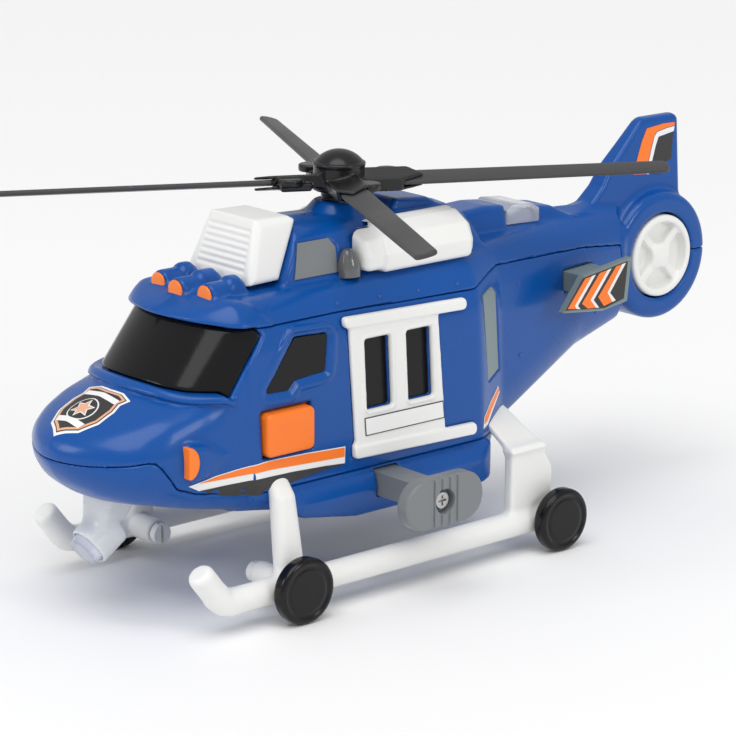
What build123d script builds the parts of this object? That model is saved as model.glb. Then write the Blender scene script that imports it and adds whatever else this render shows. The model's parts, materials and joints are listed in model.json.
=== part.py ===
from build123d import *
import math
import os

# Toy helicopter. Millimetres, +Z up, nose towards -Y, port (left-hand) side towards +X.
# Stations are measured along Y from the rotor mast; wheel bottoms stand at Z = 0.
# write() moves every part so that the Y origin is midway between nose and tail.

# ---- driving dimensions ---------------------------------------------------------------
NOSE_STATION = -113.5
TAIL_STATION = 162.5
MID_STATION = (NOSE_STATION + TAIL_STATION) / 2
WALL = 1.8
RUNNING = 0.06                     # radial clearance of every turning fit

SIDE_X, SIDE_Z = 33.0, 38.0        # foot of the flat, leaning cabin side
SIDE_TOP_X, SIDE_TOP_Z = 29.5, 86.5

ROTOR_RADIUS = 109.1
ROTOR_Z = 122.6                    # middle plane of the blades
BLADE_ANGLES = (332.55, 62.55, 152.55, 242.55)
BLADE_NAMES = ("one", "two", "three", "four")
BLADE_PITCH = 14.0
MAST_TOP_Z = 116.8
BEARING_Z = 101.8                  # foot of the long bearing under the mast
SHAFT_RADIUS = 2.5

FAN_STATION, FAN_Z = 140.0, 79.6
FAN_RADIUS = 14.5
FAN_HOUSING_RADIUS = TAIL_STATION - FAN_STATION
FAN_HOUSING_HALF = 9.5
FAN_WEB_HALF = 3.4
FAN_AXLE_RADIUS = 1.5

WHEEL_RADIUS = 10.5
WHEEL_OUTER_X = 49.75
WHEEL_WIDTH = 5.0
WHEEL_STATIONS = {"front": -53.8, "rear": 55.4}
PIN_RADIUS = 2.5
BOSS_INNER_X = {"front": 26.0, "rear": 35.2}
BOSS_RADII = {"front": 4.1, "rear": 5.0}
SKID_X, SKID_Z, SKID_RADIUS = 39.9, 9.9, 4.15

BUTTON_TRAVEL = 1.5
BUTTON_STATIONS = (-57.0, -38.0)
BUTTON_HEIGHTS = (49.3, 63.0)
BUTTON_GAP = 0.3

BATTERY_RADIUS, BATTERY_LENGTH = 5.25, 44.5
FLOOR_Z = 20.0
BATTERY_X, BATTERY_Z, BATTERY_MID = 6.2, FLOOR_Z + 7.4, 7.0

LAMP_XS = (-11.5, 0.0, 11.5)
LAMP_Z = 96.8
LED_RADIUS = 2.5
ROOF_LED = (0.0, 73.0)

SCREW_HEAD_RADIUS, SCREW_HEAD = 2.6, 1.6
SCREW_RADIUS, SCREW_LENGTH = 1.3, 14.0

# ---- outlines of the hull: (station, right half of the section as X, Z from keel to crown)
NOSE = [
    (-113.5, [(0, 50), (3, 50), (5, 51.5), (6.5, 54), (5.5, 56.2), (3, 57.4), (0, 57.8)]),
    (-112.0, [(0, 47.3), (5, 47.3), (8.5, 49.5), (10.4, 53.5), (9.2, 57), (5, 59), (0, 59.6)]),
    (-109.0, [(0, 44), (8, 44), (13.4, 47), (16.4, 53), (14.6, 58.2), (9, 60.9), (0, 61.8)]),
    (-104.0, [(0, 40.3), (11, 40.3), (19.5, 43.8), (24, 52.8), (20.2, 60), (12, 63.4), (0, 64.4)]),
    (-98.0, [(0, 37.4), (12, 37.4), (24, 41.8), (28.8, 52.4), (24.2, 62.2), (15, 65.8), (0, 67.2)]),
    (-90.0, [(0, 35.4), (13.5, 35.4), (26.5, 39.4), (31, 50.5), (27.2, 64.4), (18, 68.4), (0, 70.2)]),
    (-80.0, [(0, 33.2), (16, 33.2), (28.4, 37), (32.2, 47), (29, 66.6), (21, 70.6), (0, 73)]),
    (-60.0, [(0, 29.5), (19, 29.5), (30, 33.3), (32.9, 40), (30.6, 70), (25, 74), (0, 76)]),
]
CABIN = [
    (-62.0, [(0, 29.7), (19, 29.7), (30, 33.5), (33, 39), (29.5, 86.5), (23, 95.5), (0, 97.5)]),
    (-46.0, [(0, 27.4), (21, 27.4), (31, 30.8), (33, 38), (29.5, 86.5), (23, 96), (0, 98.5)]),
    (-38.0, [(0, 25.4), (22, 25.4), (31, 28.6), (33, 38), (29.5, 86.5), (23, 96), (0, 98.6)]),
    (-20.0, [(0, 20), (23, 20), (31, 22.8), (33, 38), (29.5, 86.5), (23, 96.2), (0, 98.8)]),
    (34.0, [(0, 20), (23, 20), (31, 22.8), (33, 38), (29.5, 86.5), (23, 97), (0, 99.5)]),
    (41.0, [(0, 20), (20, 20), (27, 22.6), (29.3, 40), (26.4, 86.5), (21.3, 97.2), (0, 100.6)]),
    (44.0, [(0, 29), (17, 29), (24, 31), (27.6, 42), (25.1, 86.5), (20.4, 97.3), (0, 101)]),
    (50.0, [(0, 35), (15, 35), (21, 37), (24.5, 44), (22.5, 86.5), (19, 97.5), (0, 102)]),
    (97.0, [(0, 52.5), (7, 52.5), (11, 54.5), (15, 62), (14.5, 89), (10, 98.5), (0, 101.5)]),
    (121.0, [(0, 58), (4, 58), (8, 60), (10.4, 66), (10.4, 88), (7, 97), (0, 100)]),
]
COCKPIT = [
    (-92.0, [(0, 60), (21, 60), (30, 62), (31.3, 64), (29.5, 86.5), (23, 89.6), (0, 90.6)]),
    (-74.0, [(0, 60), (21, 60), (30, 62), (31.3, 64), (29.5, 86.5), (23, 90), (0, 91.4)]),
    (-61.0, [(0, 60), (21, 60), (30, 62), (31.3, 64), (29.5, 86.5), (23, 95.5), (0, 97.5)]),
]
HOUSING = [
    (-38.0, [(0, 94), (10, 94), (17, 95), (18.5, 98), (15.2, 110.5), (12, 113.8), (0, 115)]),
    (40.0, [(0, 94), (10, 94), (17, 95), (18.5, 98), (15.2, 109), (12, 111), (0, 112)]),
    (48.0, [(0, 94), (10, 94), (17, 95), (17.5, 98), (14, 103), (11, 105), (0, 106)]),
]
SPONSON = [
    (-54.0, [(30, 32.5), (32.6, 33), (33.2, 35), (33, 37.4), (30, 37.4)]),
    (-43.0, [(28, 27), (33, 27.6), (35.4, 33), (33.2, 37.8), (28, 37.8)]),
    (-20.0, [(28, 22.4), (32.6, 23.4), (35.4, 31), (33.2, 37.8), (28, 37.8)]),
    (31.0, [(28, 22.4), (32.6, 23.4), (35.4, 31), (33.2, 37.8), (28, 37.8)]),
    (38.0, [(27, 24), (30.4, 25), (32, 31), (31, 37.4), (27, 37.4)]),
]

# ---- side outlines: station, Z ----------------------------------------------------------
BELLY_SEAM = [(-125, 52.3), (-110, 52.4), (-104, 53.1), (-97, 54.1), (-94.6, 53.8), (-92.6, 51.8),
              (-87.4, 44.7), (-81, 42.2), (-57, 38.2), (70, 38.2), (170, 38.2)]
ROOF_SEAM = [(-105, 90.3), (-72, 90.3), (-67.4, 89.9), (-60, 89.0), (-50, 88.4), (-24, 88.6),
             (33, 87.3), (50, 91.4), (97, 89.2), (118.5, 86.5), (118.6, FAN_Z), (170, FAN_Z)]
WINDSCREEN_SIDE = [(-94, 75.4), (-85.2, 73.2), (-81.6, 71.9), (-78, 71.3), (-70.2, 70.9),
                   (-67.9, 69.0), (-54.7, 86.7), (-56.4, 89.0), (-63.8, 89.1), (-67.4, 89.8),
                   (-72, 90.4), (-94, 90.4)]
WINDSCREEN_FOOT = (-85.2, 73.2)
COCKPIT_WINDOW = [(-55.2, 68.8), (-46.0, 68.4), (-43.2, 71.1), (-31.2, 71.9), (-29.6, 83.4),
                  (-42.6, 84.0)]
DOOR = [(-23.8, 87.5), (27.2, 86.1), (27.2, 82.3), (15.6, 82.4), (16.9, 45.3), (29.8, 45.1),
        (29.8, 41.2), (-21.8, 42.5), (-21.8, 46.6), (-20.8, 47.8), (-21.6, 83.2), (-23.8, 84.8)]
DOOR_RAILS = [[(-23.8, 83.9), (27.2, 82.3), (27.2, 86.1), (-23.8, 87.5)],
              [(-21.8, 42.5), (29.8, 41.2), (29.8, 45.1), (-21.8, 46.6)]]
DOOR_WINDOWS = [(-15.7, -5.2), (1.6, 12.0)]
DOOR_WINDOW_HEIGHTS = (57.0, 79.3)
FIN = [(103, 98), (110, 101), (115.5, 106), (119.5, 112), (134.5, 126.4), (136.5, 127.4),
       (152.0, 127.4), (153.6, 125.8), (153.6, 96), (128, 88)]
SCOOP = [(-49.5, 98.0), (-37.2, 98.4), (-27.2, 115.9), (-29.5, 117.2), (-43.2, 117.6)]
STABILISER = [(81.6, 84.8), (104.0, 87.8), (102.4, 73.0), (90.8, 71.4), (72.4, 73.4)]


# ---- helpers ------------------------------------------------------------------------------
def write(name, shape):
    export_step(Pos(0, -MID_STATION, 0) * shape, f"parts/{name}.step")


def group(solids):
    return Compound(children=list(solids))


def mirrored(shape):
    return mirror(shape, about=Plane.YZ)


def inset(points, depth):
    """The closed outline moved inwards by depth, each corner kept."""
    if depth == 0:
        return points
    count = len(points)
    area = sum(points[i][0] * points[(i + 1) % count][1] - points[(i + 1) % count][0] * points[i][1]
               for i in range(count))
    turn = math.copysign(1, area)
    lines = []
    for i in range(count):
        (ax, ay), (bx, by) = points[i], points[(i + 1) % count]
        length = math.hypot(bx - ax, by - ay)
        nx, ny = -turn * (by - ay) / length, turn * (bx - ax) / length
        lines.append((nx, ny, nx * ax + ny * ay + depth))
    moved = []
    for i in range(count):
        (a, b, c), (d, e, f) = lines[i - 1], lines[i]
        cross = a * e - b * d
        if abs(cross) < 1e-9:
            moved.append((points[i][0] + a * depth, points[i][1] + b * depth))
        else:
            moved.append(((c * e - b * f) / cross, (a * f - c * d) / cross))
    return moved


def section(station, outline, depth=0):
    points = inset(outline, depth)
    return Wire.make_polygon([Vector(x, station, z) for x, z in points], close=True)


def whole(half):
    return half + [(-x, z) for x, z in reversed(half[1:-1])]


def hull(stations, depth=0):
    """A ruled body through symmetric sections, depth inside the outline and the end faces."""
    ends = [0] * len(stations)
    ends[0], ends[-1] = depth, -depth
    wires = [section(y + end, whole(half), depth) for (y, half), end in zip(stations, ends)]
    return Solid.make_loft(wires, ruled=True)


def side_bar(points, inner, outer):
    """A side outline (station, Z) spread along X from inner to outer."""
    face = Plane.YZ.offset(inner) * make_face(Polyline(*points, close=True))
    return extrude(face, amount=outer - inner)


def band(points, half_width=60):
    return side_bar(points, -half_width, half_width)


def box(x, y, z):
    """A block from its (low, high) pairs."""
    size = [high - low for low, high in (x, y, z)]
    middle = [(high + low) / 2 for low, high in (x, y, z)]
    return Pos(*middle) * Box(*size)


def rod_x(x0, x1, station, z, radius):
    return Pos((x0 + x1) / 2, station, z) * Rot(0, 90, 0) * Cylinder(radius, abs(x1 - x0))


def rod_y(y0, y1, x, z, radius):
    return Pos(x, (y0 + y1) / 2, z) * Rot(90, 0, 0) * Cylinder(radius, abs(y1 - y0))


def rod_z(z0, z1, x, station, radius):
    return Pos(x, station, (z0 + z1) / 2) * Cylinder(radius, abs(z1 - z0))


LEAN = math.atan2(SIDE_X - SIDE_TOP_X, SIDE_TOP_Z - SIDE_Z)
SIDE_PLANE = Plane(origin=(SIDE_X, 0, SIDE_Z), x_dir=(0, 1, 0),
                   z_dir=(math.cos(LEAN), 0, math.sin(LEAN)))


def side_panel(points, inner, outer, radius=0.0):
    """An outline (station, Z) on the leaning port side, from inner to outer along its normal."""
    flat = make_face(Polyline(*[(y, (z - SIDE_Z) / math.cos(LEAN)) for y, z in points], close=True))
    if radius:
        flat = fillet(flat.vertices(), radius)
    return extrude(SIDE_PLANE.offset(inner) * flat, amount=outer - inner)


def rectangle(stations, heights):
    (y0, y1), (z0, z1) = stations, heights
    return [(y0, z0), (y1, z0), (y1, z1), (y0, z1)]


# ---- hull ---------------------------------------------------------------------------------
def windscreen_block(depth=0):
    """The wrap-round wedge that gives the windscreen its slope and its curved plan."""
    wires = []
    turn_x, turn_y, rear_y = 28.0 - depth, 14.1, 21.0
    for z in (62.0, 104.0):
        front = WINDSCREEN_FOOT[0] + 0.8 * (z - WINDSCREEN_FOOT[1]) + depth
        half = 31.0 - depth
        arc = ThreePointArc((-turn_x, front + turn_y), (0, front), (turn_x, front + turn_y))
        sides = Polyline((turn_x, front + turn_y), (half, front + rear_y), (half, -40), (-half, -40),
                         (-half, front + rear_y), (-turn_x, front + turn_y))
        wires.append(Pos(0, 0, z) * make_face(arc + sides).wire())
    return Solid.make_loft(wires, ruled=True)


def cockpit(depth=0):
    return hull(COCKPIT, depth) & windscreen_block(depth)


def fan_housing():
    ring = rod_x(-FAN_HOUSING_HALF, FAN_HOUSING_HALF, FAN_STATION, FAN_Z, FAN_HOUSING_RADIUS)
    return chamfer(ring.edges().filter_by(GeomType.CIRCLE), 1.8)


def fin():
    blade = band(FIN, 4.2)
    for side in (1, -1):
        wedge = Plane.XZ.offset(-80) * make_face(Polyline(
            (side * 4.6, 96), (side * 2.3, 128), (side * 12, 128), (side * 12, 96), close=True))
        blade -= extrude(wedge, amount=-90)
    return blade


def lamp_station(x):
    return -65.0 if x == 0 else -62.8


def roof_lamp_pod(x):
    front = lamp_station(x)
    pod = rod_y(front, -50.0, x, LAMP_Z, 3.9)
    cap = rod_y(-56.5, -50.6, x, LAMP_Z + 1.4, 3.6)
    return pod + cap - box((x - 5, x + 5), (-70, -46), (85, 92))


def sponson():
    wires = [section(y, outline) for y, outline in SPONSON]
    return Solid.make_loft(wires, ruled=True)


def mast_cone():
    return Pos(0, 0, (111.5 + MAST_TOP_Z) / 2) * Cone(12.0, 8.2, MAST_TOP_Z - 111.5)


def exhaust_hump():
    return band([(12, 110), (17, 115.6), (31, 114.2), (43, 108), (43, 104)], 8.5)


def boom_spine():
    ridge = band([(40, 98), (40, 106.5), (58, 107.6), (66, 106.8), (66, 98)], 9.0)
    fairing = band([(81, 98), (81, 104.6), (88.5, 103.4), (97, 99.0)], 8.0)
    return ridge + fairing


def visor():
    """The brow over the windscreen: the same wedge, proud of it, kept to a thin band."""
    strip = [(-84, 89.9), (-72, 90.4), (-67.4, 89.9), (-63.8, 89.2), (-56.4, 89.1), (-50, 89.1),
             (-58, 98.4), (-61, 98.2), (-74.5, 92.2), (-84, 92.2)]
    grown = hull([(y, [(x * 1.04, z + 0.6) for x, z in half]) for y, half in COCKPIT])
    return grown & windscreen_block(-2.2) & band(strip)


def marker_fairing():
    face = Plane.YZ.offset(27) * make_face(Polyline(
        (-84.8, 46.6), (-84.8, 58.2), (-76, 57.4), (-69, 53.4), (-78, 47.6), close=True))
    return extrude(face, amount=6.0, taper=14)


def mould_outside():
    shape = hull(NOSE) + hull(CABIN) + cockpit() + housing() + fan_housing() + fin()
    shape = shape + boom_spine() + exhaust_hump() + mast_cone() + visor()
    for x in LAMP_XS:
        shape = shape + roof_lamp_pod(x)
    for part in (sponson(), marker_fairing()):
        shape = shape + part + mirrored(part)
    return shape


def housing(depth=0):
    """The engine housing, its front cut back along the rear edge of the intake scoop."""
    (y0, z0), (y1, z1) = SCOOP[1], SCOOP[2]
    front = band([(y0 - 30, z0), (y0 + depth, z0), (y1 + depth, z1), (y1 + depth, z1 + 9), (y0 - 30, 125)])
    return hull(HOUSING, depth) - front


def mould_inside():
    nose = hull(NOSE[:-1] + [(-58.0, NOSE[-1][1])], WALL)
    cabin = hull([(-64.0, CABIN[0][1])] + CABIN[1:], WALL)
    return nose + cabin + cockpit(WALL) + housing(WALL) - rod_z(BEARING_Z, 130, 0, 0, 7.0)


# ---- pieces set into the hull -----------------------------------------------------------
def windscreen():
    skin = cockpit(0.4) - cockpit(WALL)
    return (skin & band(WINDSCREEN_SIDE)).solids().sort_by(SortBy.VOLUME)[-1]


def cockpit_window():
    return side_panel(COCKPIT_WINDOW, -WALL, -0.5, 0.8)


def door_windows(inner, outer, grow=0.0):
    low, high = DOOR_WINDOW_HEIGHTS
    panes = []
    for y0, y1 in DOOR_WINDOWS:
        outline = rectangle((y0 - grow, y1 + grow), (low - grow, high + grow))
        panes.append(side_panel(outline, inner, outer, 1.0))
    return panes


def door():
    leaf = side_panel(DOOR, -0.9, 0.9, 0.9)
    for rail in DOOR_RAILS:
        leaf += side_panel(rail, 0.9, 1.7, 1.6)
    for hole in door_windows(-5, 5):
        leaf -= hole
    return leaf


def door_glass():
    """One black strip behind both window openings, lying on the inner face of the side."""
    (y0, _), (_, y1) = DOOR_WINDOWS
    low, high = DOOR_WINDOW_HEIGHTS
    return side_panel(rectangle((y0 - 2, y1 + 2), (low - 2, high + 2)), -WALL - 1.2, -WALL, 1.0)


HOUSING_LEAN = math.atan2(3.3, 12.5)
HOUSING_PLANE = Plane(origin=(18.5, 0, 98), x_dir=(0, 1, 0),
                      z_dir=(math.cos(HOUSING_LEAN), 0, math.sin(HOUSING_LEAN)))
INTAKE_PANEL = [(-33.0, 0.6), (-15.4, 0.6), (-15.0, 8.6), (-17.4, 11.6), (-29.6, 11.6)]


def intake_panel(inner=-1.6, outer=-0.4):
    flat = make_face(Polyline(*INTAKE_PANEL, close=True))
    return extrude(HOUSING_PLANE.offset(inner) * flat, amount=outer - inner)


def dome_lamp():
    profile = make_face(Polyline((0, 0), (3.6, 0), (3.6, 2.4)) + Spline(
        (3.6, 2.4), (2.7, 6.6), (0, 9.0), tangents=[(0, 1), (-1, 0)]) + Line((0, 9.0), (0, 0)))
    return Pos(19.6, -12.4, 96.8) * Rot(0, -6, 0) * revolve(Plane.XZ * profile, Axis.Z)


def engine_cowl():
    outline = [(12, 100), (19, 97.0), (24.4, 97.2), (24.8, 103), (22.4, 108.4), (17, 111.6), (12, 112.4)]
    body = Solid.make_loft([section(y, outline) for y in (-2.0, 36.0)], ruled=True)
    step = Solid.make_loft([section(y, inset(outline, 0.8)) for y in (-9.0, 37.6)], ruled=True)
    return body + step


def intake_scoop():
    block = band(SCOOP, 17)
    for side in (1, -1):
        cut = Plane.XZ.offset(60) * make_face(Polyline(
            (side * 16.6, 97), (side * 16.0, 101), (side * 11.6, 118), (side * 25, 118),
            (side * 25, 97), close=True))
        block -= extrude(cut, amount=-50)
    edge = (SCOOP[4][0] - SCOOP[0][0], SCOOP[4][1] - SCOOP[0][1])
    for i in range(7):
        share = 0.16 + i * 0.115
        y, z = SCOOP[0][0] + edge[0] * share, SCOOP[0][1] + edge[1] * share
        block -= box((-12.2 + 3.4 * share, 12.2 - 3.4 * share), (y - 3, y + 0.5), (z, z + 0.9))
    return block - side_bar(inset(SCOOP, 1.8), -9.5, 9.5)


SLANT_X_DIR = Vector(23.6 - 31.3, 50 - 34, 0).normalized()
SLANT_PLANE = Plane(origin=(31.3, 34, 62), x_dir=SLANT_X_DIR,
                    z_dir=SLANT_X_DIR.cross(Vector(-0.055, 0, 1)))
VENT = [(4.0, 22.6), (11.4, 24.0), (14.6, 21.6), (15.4, -4.0), (6.0, -6.0)]


def vent(inner=-1.6, outer=-0.3):
    return extrude(SLANT_PLANE.offset(inner) * make_face(Polyline(*VENT, close=True)),
                   amount=outer - inner)


def beacon_lens():
    base = [(66, 100.5), (66, 105.2), (69, 107.0), (78, 106.2), (81, 104.4), (81, 99.8)]
    return band(base, 8.0) - band([(68, 98), (68, 104), (78, 104), (78, 98)], 6.0)


def lamp_lens(x):
    front = lamp_station(x)
    disc = rod_y(front - 0.6, front, x, LAMP_Z, 3.4)
    return disc - box((x - 5, x + 5), (-70, -46), (85, LAMP_Z - 1.6))


def marker_lens():
    face = Plane.YZ.offset(27.5) * make_face(
        Line((-85.4, 47.6), (-85.4, 57.2)) + ThreePointArc((-85.4, 57.2), (-82.4, 52.4), (-85.4, 47.6)))
    return extrude(face, amount=4.6)


# ---- hanging and standing gear -----------------------------------------------------------
SEARCHLIGHT = Pos(0, -95.4, 24.8) * Rot(-56, 0, 0)     # its -Z looks forwards and down


def searchlight_bracket():
    wires = [Plane(origin=(0, y, z), x_dir=(1, 0, 0), z_dir=(0, 0.35, 1)) * RectangleRounded(w, d, 1.6)
             for y, z, w, d in ((-90.5, 38.0, 15, 13), (-94.0, 29.5, 11, 9.5))]
    stem = Solid.make_loft([shape.wire() for shape in wires], ruled=True)
    barrel = SEARCHLIGHT * Cylinder(6.6, 11)
    bore = SEARCHLIGHT * (Pos(0, 0, -2.3) * Cylinder(LED_RADIUS, 6.4))
    return stem + barrel - searchlight_lens() - bore


def searchlight_lens():
    return SEARCHLIGHT * (Pos(0, 0, -6.1) * Cone(4.6, 5.6, 3.2))


STUB_CENTRE = (-8.1, 32.6)
STUB_BAR = ((-12.9, -3.3), (29.2, 36.8))
STUB_INNER_X, STUB_OUTER_X = 55.6, 60.6
STUB_RECESS = 3.2                  # depth of the round recess round the screw


def stub_bar():
    return box((27.0, STUB_INNER_X), *STUB_BAR) - rod_x(44, STUB_OUTER_X, *STUB_CENTRE, SCREW_RADIUS)


def stub_plate():
    y, z = STUB_CENTRE
    flat = Plane.YZ.offset(STUB_INNER_X) * Pos(y, z) * SlotOverall(32, 16)
    plate = fillet(extrude(flat, amount=STUB_OUTER_X - STUB_INNER_X).edges().group_by(Axis.X)[-1], 1.2)
    for shift in (-4.8, -1.6, 1.6, 4.8):
        groove = (y + shift - 0.35, y + shift + 0.35)
        plate -= box((STUB_OUTER_X - 0.6, STUB_OUTER_X + 1), groove, (z - 9, z + 9))
    plate -= rod_x(STUB_OUTER_X - STUB_RECESS, STUB_OUTER_X + 1, y, z, 4.0)
    return plate - rod_x(STUB_INNER_X - 1, STUB_OUTER_X + 1, y, z, SCREW_RADIUS)


def stabiliser():
    bar = box((9.5, 27.0), (85.0, 100.6), (76.8, 83.4))
    plate = side_bar(STABILISER, 26.8, 29.8)
    return bar + chamfer(plate.edges().group_by(Axis.X)[-1], 0.6)


def skid():
    """Port skid: the bent tube, two struts and the bearing bosses of the wheel pins."""
    path = FilletPolyline((SKID_X, 60.0, SKID_Z), (SKID_X, -79.5, SKID_Z),
                          (SKID_X, -88.4, 21.6), radius=6)
    tube = sweep(Plane(origin=path @ 0, z_dir=path % 0) * Circle(SKID_RADIUS), path=path)
    front = Solid.make_loft([
        (Pos(39.4, -52.6, 9.9) * Rectangle(6.4, 10)).wire(),
        (Pos(33.4, -51.0, 36.5) * Rectangle(5.6, 8.4)).wire(),
        (Pos(29.6, -51.0, 43.0) * Rectangle(4.4, 7.4)).wire()], ruled=True)
    rear = side_bar([(38.5, 9), (57, 9), (57, 27.0), (53.2, 33.0), (53.2, 36), (38.5, 36)], 37.4, 41.6)
    arm = Solid.make_loft([
        (Pos(39.5, 45.8, 35.0) * Rectangle(4.2, 14.6)).wire(),
        (Pos(21.0, 45.8, 45.0) * Rectangle(4.2, 12.0)).wire()], ruled=True)
    shape = tube + front + rear + arm
    for place, station in WHEEL_STATIONS.items():
        shape += rod_x(BOSS_INNER_X[place], 44.4, station, WHEEL_RADIUS, BOSS_RADII[place])
    for station in WHEEL_STATIONS.values():
        shape -= rod_x(20, 50, station, WHEEL_RADIUS, PIN_RADIUS + RUNNING)
    return shape


def wheel(station):
    inner_x = WHEEL_OUTER_X - WHEEL_WIDTH
    disc = rod_x(inner_x, WHEEL_OUTER_X, station, WHEEL_RADIUS, WHEEL_RADIUS)
    disc = fillet(disc.edges().filter_by(GeomType.CIRCLE), 0.9)
    return disc - rod_x(inner_x - 1, inner_x + 3.4, station, WHEEL_RADIUS, PIN_RADIUS)


def axle_pin(station, boss_x):
    """The pin snaps through the boss; its split head turns against the inner face."""
    inner = boss_x - 0.3
    shank = rod_x(inner, WHEEL_OUTER_X - 1.6, station, WHEEL_RADIUS, PIN_RADIUS)
    head = rod_x(inner - 2.5, inner, station, WHEEL_RADIUS, 3.3)
    slot = box((inner - 3, inner + 2.5), (station - 0.5, station + 0.5), (6, 15))
    return shank + head - slot


# ---- rotor --------------------------------------------------------------------------------
def blade():
    """Blade along +X before it is turned to its angle; pitched about its own length."""
    outline = make_face(Polyline((11, -4.0), (24, -4.2), (ROTOR_RADIUS, -3.5), (ROTOR_RADIUS, 3.5),
                                 (24, 4.2), (11, 4.0), close=True))
    outline = fillet(outline.vertices().sort_by(Axis.X)[-2:], 1.4)
    flat = extrude(Pos(0, 0, -0.9) * outline, amount=1.8)
    return Rot(BLADE_PITCH, 0, 0) * flat


def blade_at(angle):
    return Rot(0, 0, angle) * Pos(0, 0, ROTOR_Z) * blade()


def rotor_hub():
    hub = rod_z(119.6, 128.2, 0, 0, 7.8) + rod_z(MAST_TOP_Z + 0.3, 119.6, 0, 0, 5.5)
    crown = Pos(0, 0, 128.2) * Cylinder(7.6, 1.2, align=(Align.CENTER, Align.CENTER, Align.MIN))
    dome = Pos(0, 0, 133.0 - 10.6) * Sphere(10.6) & rod_z(129.0, 134.0, 0, 0, 7.6)
    hub = hub + crown + dome
    for angle in BLADE_ANGLES:
        plate = make_face(Polyline((4, -5.0), (19, -5.2), (27.5, -1.6), (23, 4.6), (4, 5.0), close=True))
        arm = extrude(Pos(0, 0, -2.2) * plate, amount=4.4)
        button = Pos(17.0, 5.4, 1.2) * Cylinder(4.0, 2.6)
        root = Pos(15.0, 4.0, -0.6) * Box(10, 5, 2.4)
        hub += Rot(0, 0, angle) * Pos(0, 0, ROTOR_Z) * (Rot(BLADE_PITCH, 0, 0) * arm + button + root)
    for angle in BLADE_ANGLES:
        hub -= blade_at(angle)
    return hub - rod_z(110, 127.0, 0, 0, SHAFT_RADIUS)


def rotor_shaft():
    return rod_z(98.2, 127.0, 0, 0, SHAFT_RADIUS) - ring_z(100.4, 101.4, SHAFT_RADIUS - 0.5, 4)


def ring_z(z0, z1, inner, outer):
    return rod_z(z0, z1, 0, 0, outer) - rod_z(z0 - 1, z1 + 1, 0, 0, inner)


def rotor_clip():
    return ring_z(100.4, 101.4, SHAFT_RADIUS - 0.5, 5.2)


# ---- tail fan -----------------------------------------------------------------------------
def tail_fan():
    """Port fan disc: rim, hub and four spokes in front of a dished back."""
    disc = rod_x(FAN_WEB_HALF + 0.5, 10.0, FAN_STATION, FAN_Z, FAN_RADIUS)
    disc = fillet(disc.edges().group_by(Axis.X)[-1], 0.8)
    dish = rod_x(5.4, 11.0, FAN_STATION, FAN_Z, 11.8)
    spokes = rod_x(5.0, 9.0, FAN_STATION, FAN_Z, 3.8)
    for turn in (45, 135):
        spoke = Pos(7.0, FAN_STATION, FAN_Z) * Rot(turn, 0, 0) * Box(4.0, 24.6, 3.0)
        spokes += spoke
    return disc - dish + spokes - rod_x(0, 8.0, FAN_STATION, FAN_Z, FAN_AXLE_RADIUS)


def fan_axle():
    return rod_x(-8.0, 8.0, FAN_STATION, FAN_Z, FAN_AXLE_RADIUS)


# ---- push button and electrics ------------------------------------------------------------
BUTTON_MID = (sum(BUTTON_STATIONS) / 2, sum(BUTTON_HEIGHTS) / 2)
PLUNGER_TIP_X = 27.4


def push_button(grow=0.0, inner=27.5, outer=34.2):
    y0, y1 = BUTTON_STATIONS
    z0, z1 = BUTTON_HEIGHTS
    outline = Plane.YZ.offset(inner) * Pos(*BUTTON_MID) * RectangleRounded(
        y1 - y0 + 2 * grow, z1 - z0 + 2 * grow, 2.0)
    return extrude(outline, amount=outer - inner)


def button_with_flange():
    y, z = BUTTON_MID
    cap = fillet(push_button().edges().group_by(Axis.X)[-1], 0.8)
    return cap + box((PLUNGER_TIP_X, 28.6), (y - 11.3, y + 11.3), (z - 8.6, z + 8.6))


def switch_body():
    y, z = BUTTON_MID
    return box((17.0, 24.0), (y - 4, y + 4), (z - 4, z + 4)) - rod_x(19.4, 25, y, z, 1.7 + RUNNING)


def switch_plunger():
    y, z = BUTTON_MID
    return rod_x(21.2, PLUNGER_TIP_X, y, z, 1.7)


def switch_post():
    y, z = BUTTON_MID
    return box((17.0, 23.0), (y - 4, y + 4), (27.0, z - 4))


BOARD = ((-18, 18), (-26, 32), (44.0, 45.4))


def circuit_board():
    board = box(*BOARD)
    for x, y, w, d, h in ((-6, -14, 8, 8, 1.6), (8, -6, 6, 5, 1.4), (4, 14, 5, 5, 4.0), (-9, 10, 4, 4, 3.0)):
        board += box((x - w / 2, x + w / 2), (y - d / 2, y + d / 2), (45.4, 45.4 + h))
    return board


def batteries():
    y0 = BATTERY_MID - BATTERY_LENGTH / 2
    cells = []
    for x, sign in ((-BATTERY_X, 1), (BATTERY_X, -1)):
        can = rod_y(y0 + 1, y0 + BATTERY_LENGTH - 1, x, BATTERY_Z, BATTERY_RADIUS)
        nub_y = BATTERY_MID + sign * (BATTERY_LENGTH / 2 - 0.5)
        cells.append(can + rod_y(nub_y - 0.5, nub_y + 0.5, x, BATTERY_Z, 1.9))
    return group(cells)


CONTACT_HEIGHTS = (FLOOR_Z + 4.5, FLOOR_Z + 13.0)
BAY_ROOF = (FLOOR_Z + 14.2, FLOOR_Z + 15.6)


def battery_contacts():
    """Sprung strips at both ends of the cells."""
    strips = []
    for end in (-1, 1):
        y = BATTERY_MID + end * (BATTERY_LENGTH / 2 + 0.6)
        plates = [(-10.5, 10.5)] if end < 0 else [(-10.5, -1.5), (1.5, 10.5)]
        for x0, x1 in plates:
            strips.append(box((x0, x1), (y - 0.3, y + 0.3), CONTACT_HEIGHTS))
    return group(strips)


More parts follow.
